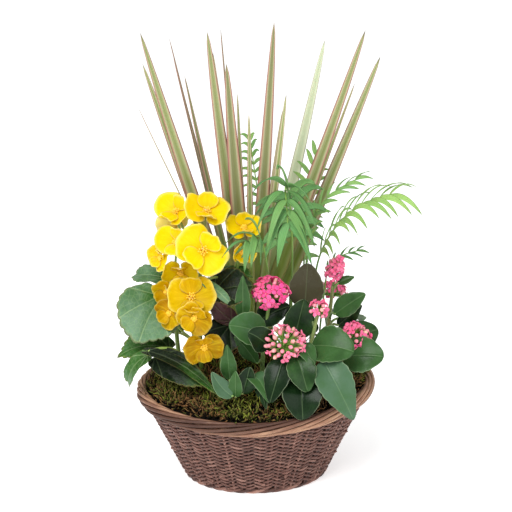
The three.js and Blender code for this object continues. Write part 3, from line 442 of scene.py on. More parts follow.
sprig_count = 6000
tuft_count = 300
last_share = 0.985  # how near the border a sprig may stand
turned_share = 0.88  # from where sprigs bend inwards
for batch in (1, 2, 3):
    turn = rng.random(tuft_count) * 2 * np.pi
    share = np.sqrt(rng.random(tuft_count)) ** 0.7
    tuft_tint = patches(*mound(turn, share).T[:2]) * 0.7 + 0.5 * rng.random(tuft_count) - 0.1
    tuft_size = rng.uniform(0.5, 1.4, tuft_count)
    tuft = rng.integers(0, tuft_count, sprig_count)
    near = rng.normal(size=(2, sprig_count))
    share = np.minimum(share[tuft] + 0.016 * near[1], last_share)
    root = mound(turn[tuft] + 0.016 * near[0] / share, share) - up * 1.5 * mm
    lean = np.stack([near[0], near[1], 0 * near[0]], axis=-1)
    spread = lean * 0.5 + rng.normal(size=(sprig_count, 3)) * (0.6, 0.6, 0.35) + (0, 0, 0.8)
    spread -= unit(root * (1, 1, 0)) * 12 * np.clip(share - turned_share, 0, 1)[:, None]
    length = (rng.uniform(9, 20, sprig_count) * tuft_size[tuft])[:, None] * mm
    step = np.linspace(0, 1, 5)
    curl = unit(np.cross(spread, rng.normal(size=(sprig_count, 3)))) * length * 0.75
    reach = unit(spread) * length
    bend = (step * (1.4 - step))[:, None] ** 2
    paths = root[:, None] + reach[:, None] * step[:, None] + curl[:, None] * bend
    thick = rng.uniform(0.5, 1.1, sprig_count)[:, None] * mm * np.array([0.6, 1.3, 0.6, 1.1, 0.3])
    sprigs = rods(paths, thick, (0.3, 0.5, 0.8), 3, tuft_tint[tuft] + rng.uniform(-0.2, 0.2, sprig_count))
    piece(f"moss_sprigs_{batch}", [sprigs], moss, "moss")


# ---- The begonia's blooms ------------------------------------------------------------------------
# Single flowers of two broad outer petals and two narrower inner ones, thin and softly ruffled, round
# a tuft of stamens. The yellow turns to a dark gold low down, partly the flowers' own colour and
# partly painted shade, and to peach on the petals' backs and edges.


def petals(across, along, leaf, rise=0.1, wave=0, back=0):
    """Points of a flat pattern bent onto its leaf or petal. The midrib is a quadratic curve from base
    to tip, raised by arch at its middle; across runs from -1 to 1 over the half width, along from 0 to
    1. The edges rise with the square of across, and fall back along the midrib by back."""
    base, tip, faces, arch = (leaf[key][:, None, None] for key in ("base", "tip", "faces", "arch"))
    width = leaf["width"][:, None, None, None]
    x, t = across[..., None], along[..., None]
    control = (base + tip) / 2 + 2 * arch
    rib = (1 - t) ** 2 * base + 2 * t * (1 - t) * control + t**2 * tip
    ahead = unit((1 - t) * (control - base) + t * (tip - control))
    side = unit(np.cross(ahead, faces))
    normal = np.cross(side, ahead)
    half = width / 2
    lift = rise * x**2 * half + np.asarray(wave)[..., None] * width
    return rib + side * x * half + normal * lift - ahead * np.asarray(back)[..., None] * width


def leafy(points, thickness, along, across, leaf, edge):
    """A thin closed leaf from its middle surface: one row round it is the upper side from edge to edge
    and then the lower side back. thickness is 0 along every edge. The UV map is the flat pattern in
    metres; the own values are the tone, 1 underneath, and edge, which rises to 1 at the edge."""
    down = np.gradient(points, axis=1)
    over = np.gradient(points, axis=2)
    normal = unit(np.cross(over, down))
    offset = normal * (np.broadcast_to(thickness, points.shape[:3])[..., None] / 2)
    upper, lower = points + offset, (points - offset)[:, :, ::-1]
    grid = np.concatenate([upper, lower, upper[:, :, :1]], axis=2)
    values = (across, along, leaf["tone"], edge)
    across, along, tone, edge = (np.broadcast_to(value, points.shape[:3]) for value in values)
    width, length = (leaf[key][:, None, None] for key in ("width", "length"))
    uv = np.stack([across * width / 2, along * length], axis=-1)
    own = np.stack([tone, 0 * tone, edge], axis=-1)
    own_lower = own[:, :, ::-1] + (0, 1, 0)
    uv = np.concatenate([uv, uv[:, :, ::-1], uv[:, :, :1]], axis=2)
    return grid, uv, np.concatenate([own, own_lower, own[:, :, :1]], axis=2)


def leaves_of(rows):
    """The leaves' values as arrays by name, in metres, from rows in millimetres. The length is the
    distance from base to tip."""
    base, tip, faces, width, arch, tone = (np.array(column, float) for column in zip(*rows))
    leaf = {"base": base * mm, "tip": tip * mm, "faces": faces, "width": width * mm, "arch": arch * mm}
    return {**leaf, "tone": tone[:, None, None], "length": np.linalg.norm(leaf["tip"] - leaf["base"], axis=1)}


def phases(leaf):
    """A random phase for the waves of each leaf."""
    return rng.random((len(leaf["tone"]), 1, 1)) * 6


def edge_fade(along, across, thickness, blunt=6):
    """A thickness that is even over a leaf and falls to 0 at its tip, its base and its two sides."""
    ends = np.clip(np.minimum(along, 1 - along) * 30, 0, 1)
    return thickness * ends * (1 - np.abs(across) ** blunt)


def straps(leaf, along, across, outline, rise, wave, thickness):
    """Long thin leaves: across, from -1 to 1, times an outline, bent onto each leaf."""
    points = petals(across * outline, along + 0 * across, leaf, rise, wave)
    return leafy(points, edge_fade(along, across, thickness), along, across, leaf, np.abs(across))


# Where each bloom sits, the way it looks, its width, how far it is cupped, and how it is rolled.
blooms = [
    ((-92, -2, 323), (-0.35, -0.6, 0.7), 50, 26, 20),
    ((-57, -16, 328), (0.2, -0.6, 0.7), 56, 22, 20),
    ((-60, -56, 294), (0.05, -1, 0.3), 64, 18, 45),
    ((-91, -34, 297), (-0.3, -0.9, 0.3), 46, 24, 10),
    ((-110, -22, 274), (-0.6, -0.7, 0.2), 34, 28, 30),
    ((-87, -26, 258), (-0.1, -0.95, -0.2), 44, 28, 0),
    ((-103, -32, 236), (-0.4, -0.9, -0.1), 38, 30, 40),
    ((-74, -62, 240), (0.1, -0.9, 0.45), 58, 22, 0),
    ((-99, -54, 218), (-0.4, -0.9, 0.1), 38, 26, 60),
    ((-70, -76, 220), (0, -1, 0.1), 42, 22, 45),
    ((-59, -84, 188), (0.1, -1, 0), 46, 20, 0),
    ((-14, -20, 309), (0.1, -0.65, 0.75), 42, 26, 0),
    ((-17, -24, 282), (0.4, -0.9, -0.1), 34, 32, 15),
    ((-92, 32, 300), (-0.5, 0.8, 0.4), 50, 28, 25),
    ((-74, 76, 262), (-0.1, 0.9, 0.4), 46, 25, 60),
]
hub = 0.03  # where the petals start, as a share of the bloom's radius
gold_and_shade_height = 190  # where petals are darkest gold, partly painted shade, and how far above that they are all yellow
yellow_rise = 110
stamen_count = 16


def petal_look():
    """Begonia petal: yellow, a darker gold low on the plant and near its base, partly its own colour and
    partly painted shade, peach at its edge and on its back, with fine veins along it."""
    scatter = {"subsurface_weight": 0.5, "subsurface_radius": (1, 0.7, 0.1), "subsurface_scale": 5 * mm}
    finish = Finish("begonia_petal", specular_ior_level=0.08, **scatter)
    tint, under, edge = finish.own()
    flat, _, along = finish.flat()
    veins = finish.noise(finish.stretched(flat, (420, 50, 1)), 1, 3)
    soft = finish.noise(finish.place(), 40, 2)
    colour = finish.layers(
        # Dark gold low on the plant to yellow high up, by the height share in tint: partly the petals' own
        # colour and partly painted shade.
        finish.mix(tint.between(0.1, 0.85), "946800", "f0c300"),
        ((veins * 0.9 + soft * 0.5).between(0.6, 0.95) * 0.3, "ffe02a"),
        ((edge * 0.8 + soft * 0.5).between(0.65, 1.15) * tint * 0.6, "fde6a0"),
        (under * 0.65, "f6d68c"),
        # Gold near the petal's base: partly its own colour and partly painted shade in the cup.
        ((1 - along / (13 * mm)).between(0, 1) * 0.55, "dfa000"),
    )
    return finish.done(colour, 0.5 - 0.1 * veins, veins, 0.12 * mm)


rows_t = np.linspace(0, 1, 15)[None, :, None]
cols_s = np.linspace(-1, 1, 17)[None, None]
petal_rows, stamens = [], []
rng = np.random.default_rng(7)
golden_angle = math.pi * (3 - math.sqrt(5))
for at, faces, width, cup, roll in blooms:
    centre, axis = np.array(at, float), unit(np.array(faces, float))
    right = unit(np.cross(axis, up))
    above = np.cross(right, axis)
    radius = width / 2
    tone = (at[2] - gold_and_shade_height) / yellow_rise
    for k in range(4):
        inner = k % 2
        turn = math.radians(roll + rng.uniform(-9, 9)) - math.pi / 2 * k
        raised = math.radians(cup + 16 * inner + rng.uniform(-5, 5))
        outwards_k = right * math.cos(turn) + above * math.sin(turn)
        slope = outwards_k * math.cos(raised) + axis * math.sin(raised)
        base = centre + outwards_k * radius * hub + axis * 0.06 * radius * inner
        tip = centre + slope * radius * (1.06 - 0.2 * inner) * rng.uniform(0.92, 1.03)
        arch = outwards_k * 0.07 * radius - axis * 0.09 * radius
        petal_rows.append((base, tip, axis, 2 * np.linalg.norm(tip - base), arch, tone))
    spots = np.arange(stamen_count)
    ring = 0.13 * radius * np.sqrt(spots / stamen_count)[:, None]
    swirl = spots[:, None] * golden_angle
    away = right * np.cos(swirl) + above * np.sin(swirl)
    foot = centre + ring * 0.4 * away
    head = centre + ring * 1.6 * away + axis * radius * (0.24 - ring / radius)
    stamens.append(np.linspace(foot, head, 5, axis=1) * mm)

petal = leaves_of(petal_rows)
# The tint is the petal's height share: it darkens the low blooms, partly as painted shade, and sets how pale
# the rims of the high ones are.
tint = np.clip(petal["tone"], 0, 1) * 0.8 + 0.2 * rng.random((len(petal_rows), 1, 1))
inner = np.arange(len(petal_rows))[:, None, None] % 2
phase = phases(petal)
fan = np.radians(88 - 22 * inner) * cols_s * (0.66 + 0.34 * np.sin(np.pi * rows_t**0.9))
reach = rows_t * (1.04 - 0.2 * np.abs(cols_s) ** 3 + 0.04 * np.sin(4 * cols_s + phase))
ruffle = 0.035 * rows_t**2 * np.sin(4.5 * cols_s + phase) + 0.018 * rows_t**3 * np.sin(11 * cols_s - phase)
points = petals(reach * np.sin(fan), reach * np.cos(fan), petal, 0.2, ruffle)
petal = {**petal, "tone": tint, "length": petal["width"] / 2, "width": petal["width"] * 0.6}
edge = np.maximum(np.abs(cols_s), rows_t) ** 3
petal_grid = leafy(points, edge_fade(rows_t, cols_s, 0.5 * mm), rows_t, cols_s, petal, edge)
bloom_names = [f"begonia_bloom_{i + 1:02d}" for i in range(len(blooms))]
piece("begonia_petals", [petal_grid], petal_look(), "begonia_petals", *bloom_names)

stamen_look = Finish("begonia_stamens")
pollen = stamen_look.noise(stamen_look.place(), 900, 2)
stamen_colour = stamen_look.mix(pollen, "f7b500", "ffe65a")
stamen_paths = np.concatenate(stamens)
club = 1.1 * mm * np.array([0.35, 0.3, 0.35, 1, 0.7])
stamen_grid = rods(stamen_paths, club, (0.3, 0.9, 0.2), 6, rng.random(len(stamen_paths)))
anthers = stamen_look.done(stamen_colour, 0.7 - 0.2 * pollen, pollen, 0.3 * mm)
piece("begonia_stamens", [stamen_grid], anthers, "begonia_petals")


# ---- The kalanchoes' flower heads ----------------------------------------------------------------
# Dense heads of small waxy florets with four pink petals, each on a green tube, among cream and green
# buds that are not open yet.

# Where each head is, the way its stalk points, its radius across and along that way, its florets and
# buds, how many degrees round they reach, a floret's radius, and how pale it is.
heads = [
    ((17, -48, 240), (0, -0.5, 1), (20, 17), (22, 9), 105, 7.6, 0.1),
    ((32, -84, 192), (0, -0.6, 1), (23, 16), (13, 30), 105, 5.4, 0.8),
    ((72, -55, 222), (0.4, -0.6, 1), (10, 10), (8, 7), 100, 6.6, 0.5),
    ((92, 2, 250), (0.3, -0.1, 1), (9, 20), (10, 16), 110, 6, 0.5),
    ((116, -36, 182), (0.8, -0.3, 0.8), (18, 13), (14, 16), 100, 6.4, 0.4),
    ((92, 58, 204), (0.2, 0.5, 1), (17, 13), (13, 10), 100, 7, 0.3),
]
bud_length = 7


def floret_look():
    """Kalanchoe petal: magenta to rose by its tint, paler towards the edge and darker at the throat."""
    scatter = {"subsurface_weight": 0.15, "subsurface_scale": 2 * mm}
    finish = Finish("kalanchoe_floret", specular_ior_level=0.4, **scatter)
    tint, _, edge = finish.own()
    flat, _, along = finish.flat()
    veins = finish.noise(finish.stretched(flat, (900, 160, 1)), 1, 3)
    colour = finish.layers(
        finish.mix(tint, "f03488", "f78ea4"),
        ((edge * 0.7 + veins * 0.4).between(0.5, 1) * 0.45, "ff9dc0"),
        ((1 - along / (2 * mm)).between(0, 1) * 0.5, "b5205a"),
    )
    return finish.done(colour, 0.45 + 0.15 * veins, veins, 0.2 * mm)


def bud_look():
    """Buds and flower tubes: yellow-green at the foot, cream above, and rose at the tips of some."""
    finish = Finish("kalanchoe_bud", specular_ior_level=0.4)
    tint, _, share = finish.own()
    grain = finish.noise(finish.place(), 600, 2)
    green = finish.mix(grain, "5f8f33", "8db552")
    cream = finish.mix(tint.between(-0.2, 0.3), "e8d5a8", "f08ea0")
    colour = finish.mix((share + grain * 0.2).between(0.7, 1), green, cream)
    return finish.done(colour, 0.5 - 0.1 * grain, grain, 0.2 * mm)


floret_rows, tubes, buds = [], [], []
rng = np.random.default_rng(21)
for at, faces, (wide, tall), (floret_count, bud_count), spread, floret_radius, pale in heads:
    centre, main = np.array(at, float), Vector(faces).normalized()
    turn_up = np.array(Vector((0, 0, 1)).rotation_difference(main).to_matrix())
    total = floret_count + bud_count
    flattest = math.cos(math.radians(spread))
    for i in range(total):
        z = 1 - (1 - flattest) * (i + 0.5) / total
        ring = math.sqrt(1 - z * z)
        direction = np.array([ring * math.cos(i * golden_angle), ring * math.sin(i * golden_angle), z])
        depth = rng.uniform(0.86, 1.05)
        spot = centre + turn_up @ (direction * (wide, wide, tall)) * depth
        axis = unit(turn_up @ direction + rng.normal(size=3) * 0.16)
        root = centre + (spot - centre) * 0.15 - np.array(main) * 0.3 * tall
        right = unit(np.cross(axis, (0.3, 0.5, 0.8)))
        above = np.cross(axis, right)
        if (i + 1) * floret_count // total > i * floret_count // total:
            tubes.append(np.linspace(root, spot, 5))
            turn = rng.random() * 6
            size_i = floret_radius * rng.uniform(0.88, 1.1)
            shade_i = 0.3 * rng.random() + 0.7 * pale
            for k in range(4):
                away = right * math.cos(turn + k * math.pi / 2) + above * math.sin(turn + k * math.pi / 2)
                tip = spot + away * size_i + axis * (1 + 4 * pale) * rng.uniform(0.2, 1)
                floret_rows.append((spot + away * 0.4, tip, axis, size_i * 0.86, axis * -0.3, shade_i))
        else:
            buds.append(np.linspace(root, spot + axis * bud_length * rng.uniform(0.1, 0.45), 13))

floret = leaves_of(floret_rows)
t4, s4 = np.array([0, 0.2, 0.5, 0.78, 1])[None, :, None], np.linspace(-1, 1, 5)[None, None]
outline = (0.25 + 0.75 * np.sin(np.pi * 0.9 * t4**1.2) ** 0.7) * np.minimum(1, 4 * (1 - t4))
points = petals(s4 * outline, t4 + 0 * s4, floret, 0.25)
floret_grid = leafy(points, edge_fade(t4, s4, 0.8 * mm), t4, s4, floret, np.abs(s4 * outline))
head_names = [f"kalanchoe_head_{i + 1}" for i in range(len(heads))]
piece("kalanchoe_florets", [floret_grid], floret_look(), "kalanchoe_flowers", *head_names)
tube_radii = mm * np.array([0.7, 0.8, 1.2, 1.5, 1.0])
bud_radii = mm * np.array([0.6, 0.6, 0.6, 0.6, 0.6, 0.6, 0.7, 0.9, 1.6, 2.3, 2.5, 2.1, 1.1])
tube_grid = rods(np.array(tubes) * mm, tube_radii, (0.3, 0.5, 0.8), 6, 0.2)
bud_grid = rods(np.array(buds) * mm, bud_radii, (0.3, 0.5, 0.8), 8, rng.random(len(buds)))
piece("kalanchoe_buds", [tube_grid, bud_grid], bud_look(), "kalanchoe_flowers")


# ---- The begonia's leafy shoots ------------------------------------------------------------------
# Juicy reddish stems in the soil, with a stalk to each bloom and to each leaf. The leaves are thin,
# heart-shaped and toothed, with a few veins that fan out from the stalk and a net of finer ones.

root_depth = 60
stem_stations = 40
stalk_stations = 12


def smooth(points, count):
    """A smooth path through points, as count stations an equal way apart: cubic pieces, whose slope at
    a point comes from its two neighbours, weighted by the square roots of their distances."""
    p = np.array(points, float)
    p = np.concatenate([2 * p[:1] - p[1:2], p, 2 * p[-1:] - p[-2:-1]])
    knots = np.sqrt(np.linalg.norm(np.diff(p, axis=0), axis=1))[:, None]
    d0, d1, d2 = knots[:-2], knots[1:-1], knots[2:]
    a, b, c, d = p[:-3], p[1:-2], p[2:-1], p[3:]
    leave = d1 * ((b - a) / d0 - (c - a) / (d0 + d1) + (c - b) / d1)
    arrive = d1 * ((c - b) / d1 - (d - b) / (d1 + d2) + (d - c) / d2)
    t = np.linspace(0, 1, 24, endpoint=False)[None, :, None]
    b, c, leave, arrive = b[:, None], c[:, None], leave[:, None], arrive[:, None]
    curve = (2 * t**3 - 3 * t**2 + 1) * b + (t**3 - 2 * t**2 + t) * leave
    curve = curve + (3 * t**2 - 2 * t**3) * c + (t**3 - t**2) * arrive
    curve = np.concatenate([curve.reshape(-1, 3), p[-2:-1]])
    length = np.concatenate([[0], np.linalg.norm(np.diff(curve, axis=0), axis=1).cumsum()])
    even = np.linspace(0, length[-1], count)
    return np.stack([np.interp(even, length, curve[:, i]) for i in range(3)], axis=1)


def shoot_stems(stem, leaves, carried, drop):
    """The paths of a shoot's stem, its leaf stalks and its flower stalks. A stalk leaves the stem
    lower than what it carries, above the moss, and bends up to it."""
    path = smooth([(*stem[0][:2], root_depth), *stem], stem_stations)
    top = path[-1, 2]
    lowest = (moss_top / mm + 8 - root_depth) / (top - root_depth)

    def joint(height):
        share = np.clip((min(top, height) - root_depth) / (top - root_depth), lowest, 0.96)
        return path[int(round(share * (stem_stations - 1)))]

    leaf_stalks, flower_stalks = [], []
    for base, tip, *_ in leaves:
        start, end = joint(base[2] - drop), np.array(base, float)
        ahead = unit(np.array(tip, float) - end)
        bend = (start + end) / 2 + (0, 0, 0.18 * np.linalg.norm(end - start))
        leaf_stalks.append(smooth([start, bend, end, end + ahead * 1.5], stalk_stations))
    for at in carried:
        start, end = joint(at[2] - 1.6 * drop), np.array(at, float)
        bend = start + (end - start) * (0.6, 0.6, 0.45)
        flower_stalks.append(smooth([start, bend, end], stalk_stations))
    return path, leaf_stalks, flower_stalks


def grown(shoots, places, drop):
    """The leaves, stems and stalks of all of a plant's shoots. places are those of what they carry."""
    rows, stems, stalks = [], [], []
    for stem, carried, leaves in shoots.values():
        path, leaf_stalks, flower_stalks = shoot_stems(stem, leaves, [places[i] for i in carried], drop)
        rows += leaves
        stems.append(path)
        stalks += leaf_stalks + flower_stalks
    return leaves_of(rows), np.array(stems) * mm, np.array(stalks) * mm


# Each shoot: its stem, the blooms it carries, and its leaves, each with its base, its tip, the way its
# upper side faces, its width, its arch, and its tone from 0, dark, to 1, pale. The tones are partly
# the leaves' own greens and partly painted light: the darkest stand for shade deep in the planting,
# the palest for sheen.
begonia_shoots = {
    "crown": ([(-64, 2, 82), (-66, -8, 180), (-64, -14, 290)], (0, 1, 2), [
        ((-50, -20, 250), (-2, -34, 254), (0, -0.25, 1), 26, (0, 0, 5), 0.45),
    ]),
    "left": ([(-80, -8, 82), (-92, -12, 160), (-96, -14, 255)], (3, 4, 5, 6), [
        ((-109, -24, 228), (-135, -56, 181), (-0.2, -0.9, 0.35), 77, (-2, -3, 3), 0.7),
        ((-106, -4, 243), (-147, 8, 241), (-0.1, -0.3, 1), 38, (0, 0, 3), 0.75),
        ((-101, -24, 162), (-162, -34, 156), (-0.2, -0.6, 0.8), 34, (0, 0, 9), 0.45),
    ]),
    "front": ([(-62, -24, 82), (-72, -42, 150), (-72, -48, 200)], (7, 8, 9, 10), [
        ((-125, -54, 166), (-148, -50, 124), (-0.7, -0.6, 0.5), 24, (-7, -2, 4), 0.65),
        ((-125, -62, 174), (-40, -104, 134), (0.2, -0.5, 0.85), 17, (0, -3, 11), 0.15),
        ((-117, -52, 163), (-60, -90, 143), (-0.1, -0.85, 0.5), 36, (0, -2, 4), 0.12),
    ]),
    "right": ([(-44, -12, 82), (-38, -18, 170), (-26, -14, 260)], (11, 12), [
        ((-48, -42, 240), (-3, -48, 249), (0.1, -0.8, 0.6), 46, (0, -3, 3), 0.2),
        ((-59, -58, 256), (-26, -62, 228), (-0.2, -0.7, 0.7), 12, (0, 0, 3), 0.8),
        ((-28, -54, 208), (-51, -64, 235), (-0.2, -0.95, 0.2), 24, (0, -2, 0), -0.8),
        ((-30, -50, 201), (-50, -70, 176), (0.1, -0.95, 0.3), 44, (0, -3, 3), 0.08),
    ]),
    "back": ([(-66, 24, 82), (-70, 30, 170), (-72, 26, 250)], (13, 14), [
        ((-94, 36, 210), (-140, 56, 198), (-0.3, 0.3, 0.9), 58, (0, 0, 4), 0.6),
        ((-74, 52, 212), (-84, 106, 198), (-0.1, 0.5, 0.85), 54, (0, 2, 4), 0.5),
        ((-56, 56, 200), (-44, 108, 182), (0.1, 0.5, 0.85), 48, (0, 3, 5), 0.3),
        ((-96, 38, 160), (-142, 66, 138), (-0.4, 0.3, 0.85), 52, (0, 0, 7), 0.6),
    ]),
}

vein_pitch = math.radians(36)


def begonia_leaf_look():
    """Begonia leaf: dark to grey green by its tone, partly painted shade and sheen, pale fanning veins and
    a fine net between them, paler and duller underneath."""
    scatter = {"subsurface_weight": 0.06, "subsurface_radius": (0.4, 1, 0.2), "subsurface_scale": 2 * mm}
    finish = Finish("begonia_leaf", specular_ior_level=0.18, **scatter)
    tint, under, edge = finish.own()
    flat, u, v = finish.flat()
    distance = (u * u + v * v) ** 0.5
    angle = u.math("ARCTAN2", u, v)
    vein = angle.math("PINGPONG", angle, vein_pitch / 2) * distance
    vein = 1 - vein.between(0.15 * mm, 1.3 * mm)
    cells = {"feature": "DISTANCE_TO_EDGE"}
    net = finish.add("ShaderNodeTexVoronoi", cells, {"Vector": flat, "Scale": 190}, "Distance")
    net = net.between(0, 0.12)
    mottle = finish.noise(finish.place(), 70, 3)
    tone = (tint + (mottle - 0.5) * 0.5 + (distance * 6 - 0.15)).between(-0.1, 1.2)
    colour = finish.layers(
        finish.mix(tone.between(0.1, 0.6), "051403", "2f5a1c"),
        (tone.between(0.5, 1.05), "6c8a70"),
        ((0 - tint).between(0, 0.4) * 0.85, "43282a"),
        ((1 - net) * tone * 0.15, "a9c288"),
        (vein * (tone * 0.25 + 0.05), "b7cf96"),
        (edge.between(0.93, 1) * 0.35, "9a8a4e"),
        (under * 0.45, "8fa873"),
    )
    relief = net * 0.2 - vein * 0.6 + mottle * 0.4
    return finish.done(colour, 0.36 + 0.2 * under + 0.12 * mottle, relief, 0.7 * mm)


def stem_look(name, foot, top, blush):
    """A stem or stalk: one colour at its foot and another at its end, with fine lines and a blush."""
    finish = Finish(name, specular_ior_level=0.45)
    tint, _, share = finish.own()
    lines = finish.noise(finish.stretched(finish.flat()[0], (60, 8, 1)), 1, 3)
    colour = finish.mix(share, foot, top)
    colour = finish.mix((lines * 0.6 + tint * 0.5).between(0.5, 0.9) * 0.5, colour, blush)
    return finish.done(colour, 0.5 - 0.15 * lines, lines, 0.2 * mm)


def stem_piece(name, end_radius, stalk_radius, colours):
    """A plant's stems and stalks as one piece, in the colours of foot, top and blush."""
    stem_radii = np.linspace(3.2, end_radius, stem_stations) * mm
    stem_grid = rods(stems, stem_radii, (0.2, 1, 0.1), 8, rng.random(len(stems)))
    stalk_grid = rods(stalks, stalk_radius * mm, (0.3, 1, 0.2), 7, rng.random(len(stalks)))
    piece(f"{name}_stems", [stem_grid, stalk_grid], stem_look(f"{name}_stem", *colours), f"{name}_leaves")


leaf, stems, stalks = grown(begonia_shoots, [bloom[0] for bloom in blooms], 22)
rng = np.random.default_rng(31)
phase = phases(leaf)
a = np.linspace(-np.pi, np.pi, 89)[None, None]
r = np.array([0, 0.12, 0.26, 0.42, 0.58, 0.73, 0.86, 0.95, 1])[None, :, None]
tooth = 1 + (0.035 * np.abs(np.sin(11 * a)) ** 0.6 - 0.02 + 0.02 * np.sin(4 * a + phase)) * r**6
x = r * np.sin(a) * (1 + 0.06 * np.cos(a) + 0.07 * np.sin(a) * np.sin(phase)) * tooth
point = 0.07 * np.exp(-((a / 0.2) ** 2))
lobes = 0.18 * np.exp(-(((np.pi - np.abs(a)) / 0.4) ** 2))
y = r * (0.4 + 0.58 * np.cos(a) + point + lobes) * tooth / 1.05
uv = np.stack([x * leaf["width"][:, None, None] / 2, y * leaf["length"][:, None, None]], axis=-1)
fan = np.arctan2(uv[..., 0], uv[..., 1])
puff = np.abs(np.sin(np.pi * fan / vein_pitch)) * r * (1.1 - r) * 0.05
wave = puff + 0.03 * r**3 * np.sin(5 * a + phase) + 0.015 * r**4 * np.sin(11 * a - phase)
middle = petals(x, y, leaf, 0.2, wave)
down, round_ = np.gradient(middle, axis=1), np.gradient(middle, axis=2)
normal = unit(np.cross(round_, down))
normal[:, 0] = unit(normal[:, 1].mean(axis=1, keepdims=True))
offset = normal * 0.3 * mm * (1 - r**8)[..., None]
grid = np.concatenate([middle + offset, (middle - offset)[:, ::-1]], axis=1)
own = np.stack(np.broadcast_arrays(leaf["tone"], 0 * r, r + 0 * a), axis=-1)
uv = np.concatenate([uv, uv[:, ::-1]], axis=1)
own = np.concatenate([own, own[:, ::-1] + (0, 1, 0)], axis=1)
begonia_names = [f"begonia_shoot_{name}" for name in begonia_shoots]
piece("begonia_leaves", [(grid, uv, own)], begonia_leaf_look(), "begonia_leaves", *begonia_names)
stem_piece("begonia", 2.2, 1.4, ("6b8a3a", "93ad55", "a3614a"))


# ---- The kalanchoes' leafy shoots ----------------------------------------------------------------
# Thick stems with fleshy glossy leaves, scalloped along their edges. A fine pale line runs round each
# leaf, and a shallow groove along its middle.

# Rows as above: the dark and pale tones are here too partly the leaves' own greens, partly painted shade and
# painted sheen.
kalanchoe_shoots = {
    "middle": ([(8, -28, 82), (8, -36, 160), (15, -44, 226)], (0,), [
        ((-15, -60, 213), (-15, -62, 266), (0, -1, 0.1), 18, (0, 0, 0), 0.5),
        ((10, -66, 196), (-31, -80, 212), (-0.1, -0.85, 0.5), 38, (0, -2, 3), 0.6),
        ((44, -46, 183), (55, -46, 232), (0.2, -1, 0.1), 38, (0, 0, 0), 0.3),
        ((1, -58, 158), (-25, -70, 195), (-0.4, -0.8, 0.5), 19, (0, 0, 3), 0.45),
        ((2, -40, 202), (39, -42, 222), (0, -0.85, 0.5), 30, (0, 0, 2), 0.1),
    ]),
    "front": ([(18, -46, 82), (20, -62, 140), (30, -78, 180)], (1,), [
        ((2, -84, 150), (12, -104, 120), (-0.6, -0.7, 0.4), 16, (0, -3, 3), 0.2),
        ((32, -84, 176), (16, -108, 129), (-0.3, -0.85, 0.4), 32, (0, -4, 3), 0.12),
        ((50, -80, 156), (53, -112, 110), (0.1, -0.8, 0.5), 48, (0, -7, 5), 0.1),
        ((46, -88, 177), (58, -108, 143), (0.1, -0.8, 0.5), 34, (0, -4, 4), 0.35),
        ((16, -78, 185), (-9, -92, 208), (-0.2, -0.8, 0.5), 30, (0, -2, 3), 0.15),
        ((50, -80, 190), (66, -92, 168), (0.3, -0.7, 0.6), 22, (0, -2, 3), 0.55),
    ]),
    "low": ([(-22, -72, 82), (-23, -80, 110), (-24, -86, 136)], (), [
        ((-30, -84, 147), (-33, -88, 192), (0, -1, 0.1), 19, (0, 0, 0), 0.5),
        ((-27, -100, 134), (-50, -106, 166), (0.45, -0.85, 0.25), 20, (-2, 0, -2), 0.85),
        ((-23, -97, 132), (-23, -103, 166), (-0.25, -0.95, 0.2), 17, (0, -2, 0), 0.55),
        ((-15, -92, 134), (-7, -93, 167), (0, -0.95, 0.3), 24, (0, -2, 0), 0.2),
        ((-7, -86, 151), (15, -106, 128), (0.1, -0.45, 0.9), 22, (0, -3, 12), 0.6),
    ]),
    "right": ([(58, -36, 82), (60, -46, 150), (70, -54, 214)], (2,), [
        ((64, -66, 182), (111, -88, 183), (0, -0.75, 0.65), 46, (0, -3, 4), 0.5),
        ((76, -84, 171), (110, -116, 112), (-0.1, -0.8, 0.6), 42, (-1, -7, 7), 0.85),
        ((57, -18, 211), (60, -12, 264), (0, -1, -0.1), 42, (0, 0, 0), -0.4),
    ]),
    "tall": ([(80, -2, 82), (84, -4, 160), (90, 0, 232)], (3,), [
        ((92, -22, 205), (127, -28, 232), (0.2, -0.7, 0.6), 26, (0, 0, 1), 0.5),
        ((96, -2, 236), (115, -2, 244), (0, -0.6, 0.8), 12, (0, 0, 0), 0.5),
        ((98, 12, 170), (144, 24, 158), (0.3, 0, 0.95), 38, (0, 0, 5), 0.4),
        ((96, -18, 190), (123, -24, 217), (0.5, -0.7, 0.3), 20, (0, 0, 0), 0.25),
    ]),
    "end": ([(94, -30, 82), (98, -34, 130), (110, -36, 172)], (4,), [
        ((101, -50, 162), (147, -62, 167), (0, -0.8, 0.6), 44, (0, -2, 3), 0.55),
        ((108, -24, 168), (144, -8, 180), (0.1, -0.7, 0.7), 36, (0, 0, 3), 0.4),
    ]),
    "back": ([(82, 46, 82), (84, 50, 140), (90, 54, 190)], (5,), [
        ((102, 56, 172), (130, 82, 158), (0.3, 0.4, 0.85), 40, (0, 0, 5), 0.4),
        ((84, 66, 172), (80, 110, 154), (0, 0.5, 0.85), 42, (0, 2, 5), 0.3),
        ((70, 60, 150), (38, 98, 140), (-0.2, 0.4, 0.85), 38, (0, 2, 5), 0.3),
        ((100, 60, 136), (116, 98, 128), (0.2, 0.3, 0.9), 36, (0, 0, 5), 0.5),
    ]),
}


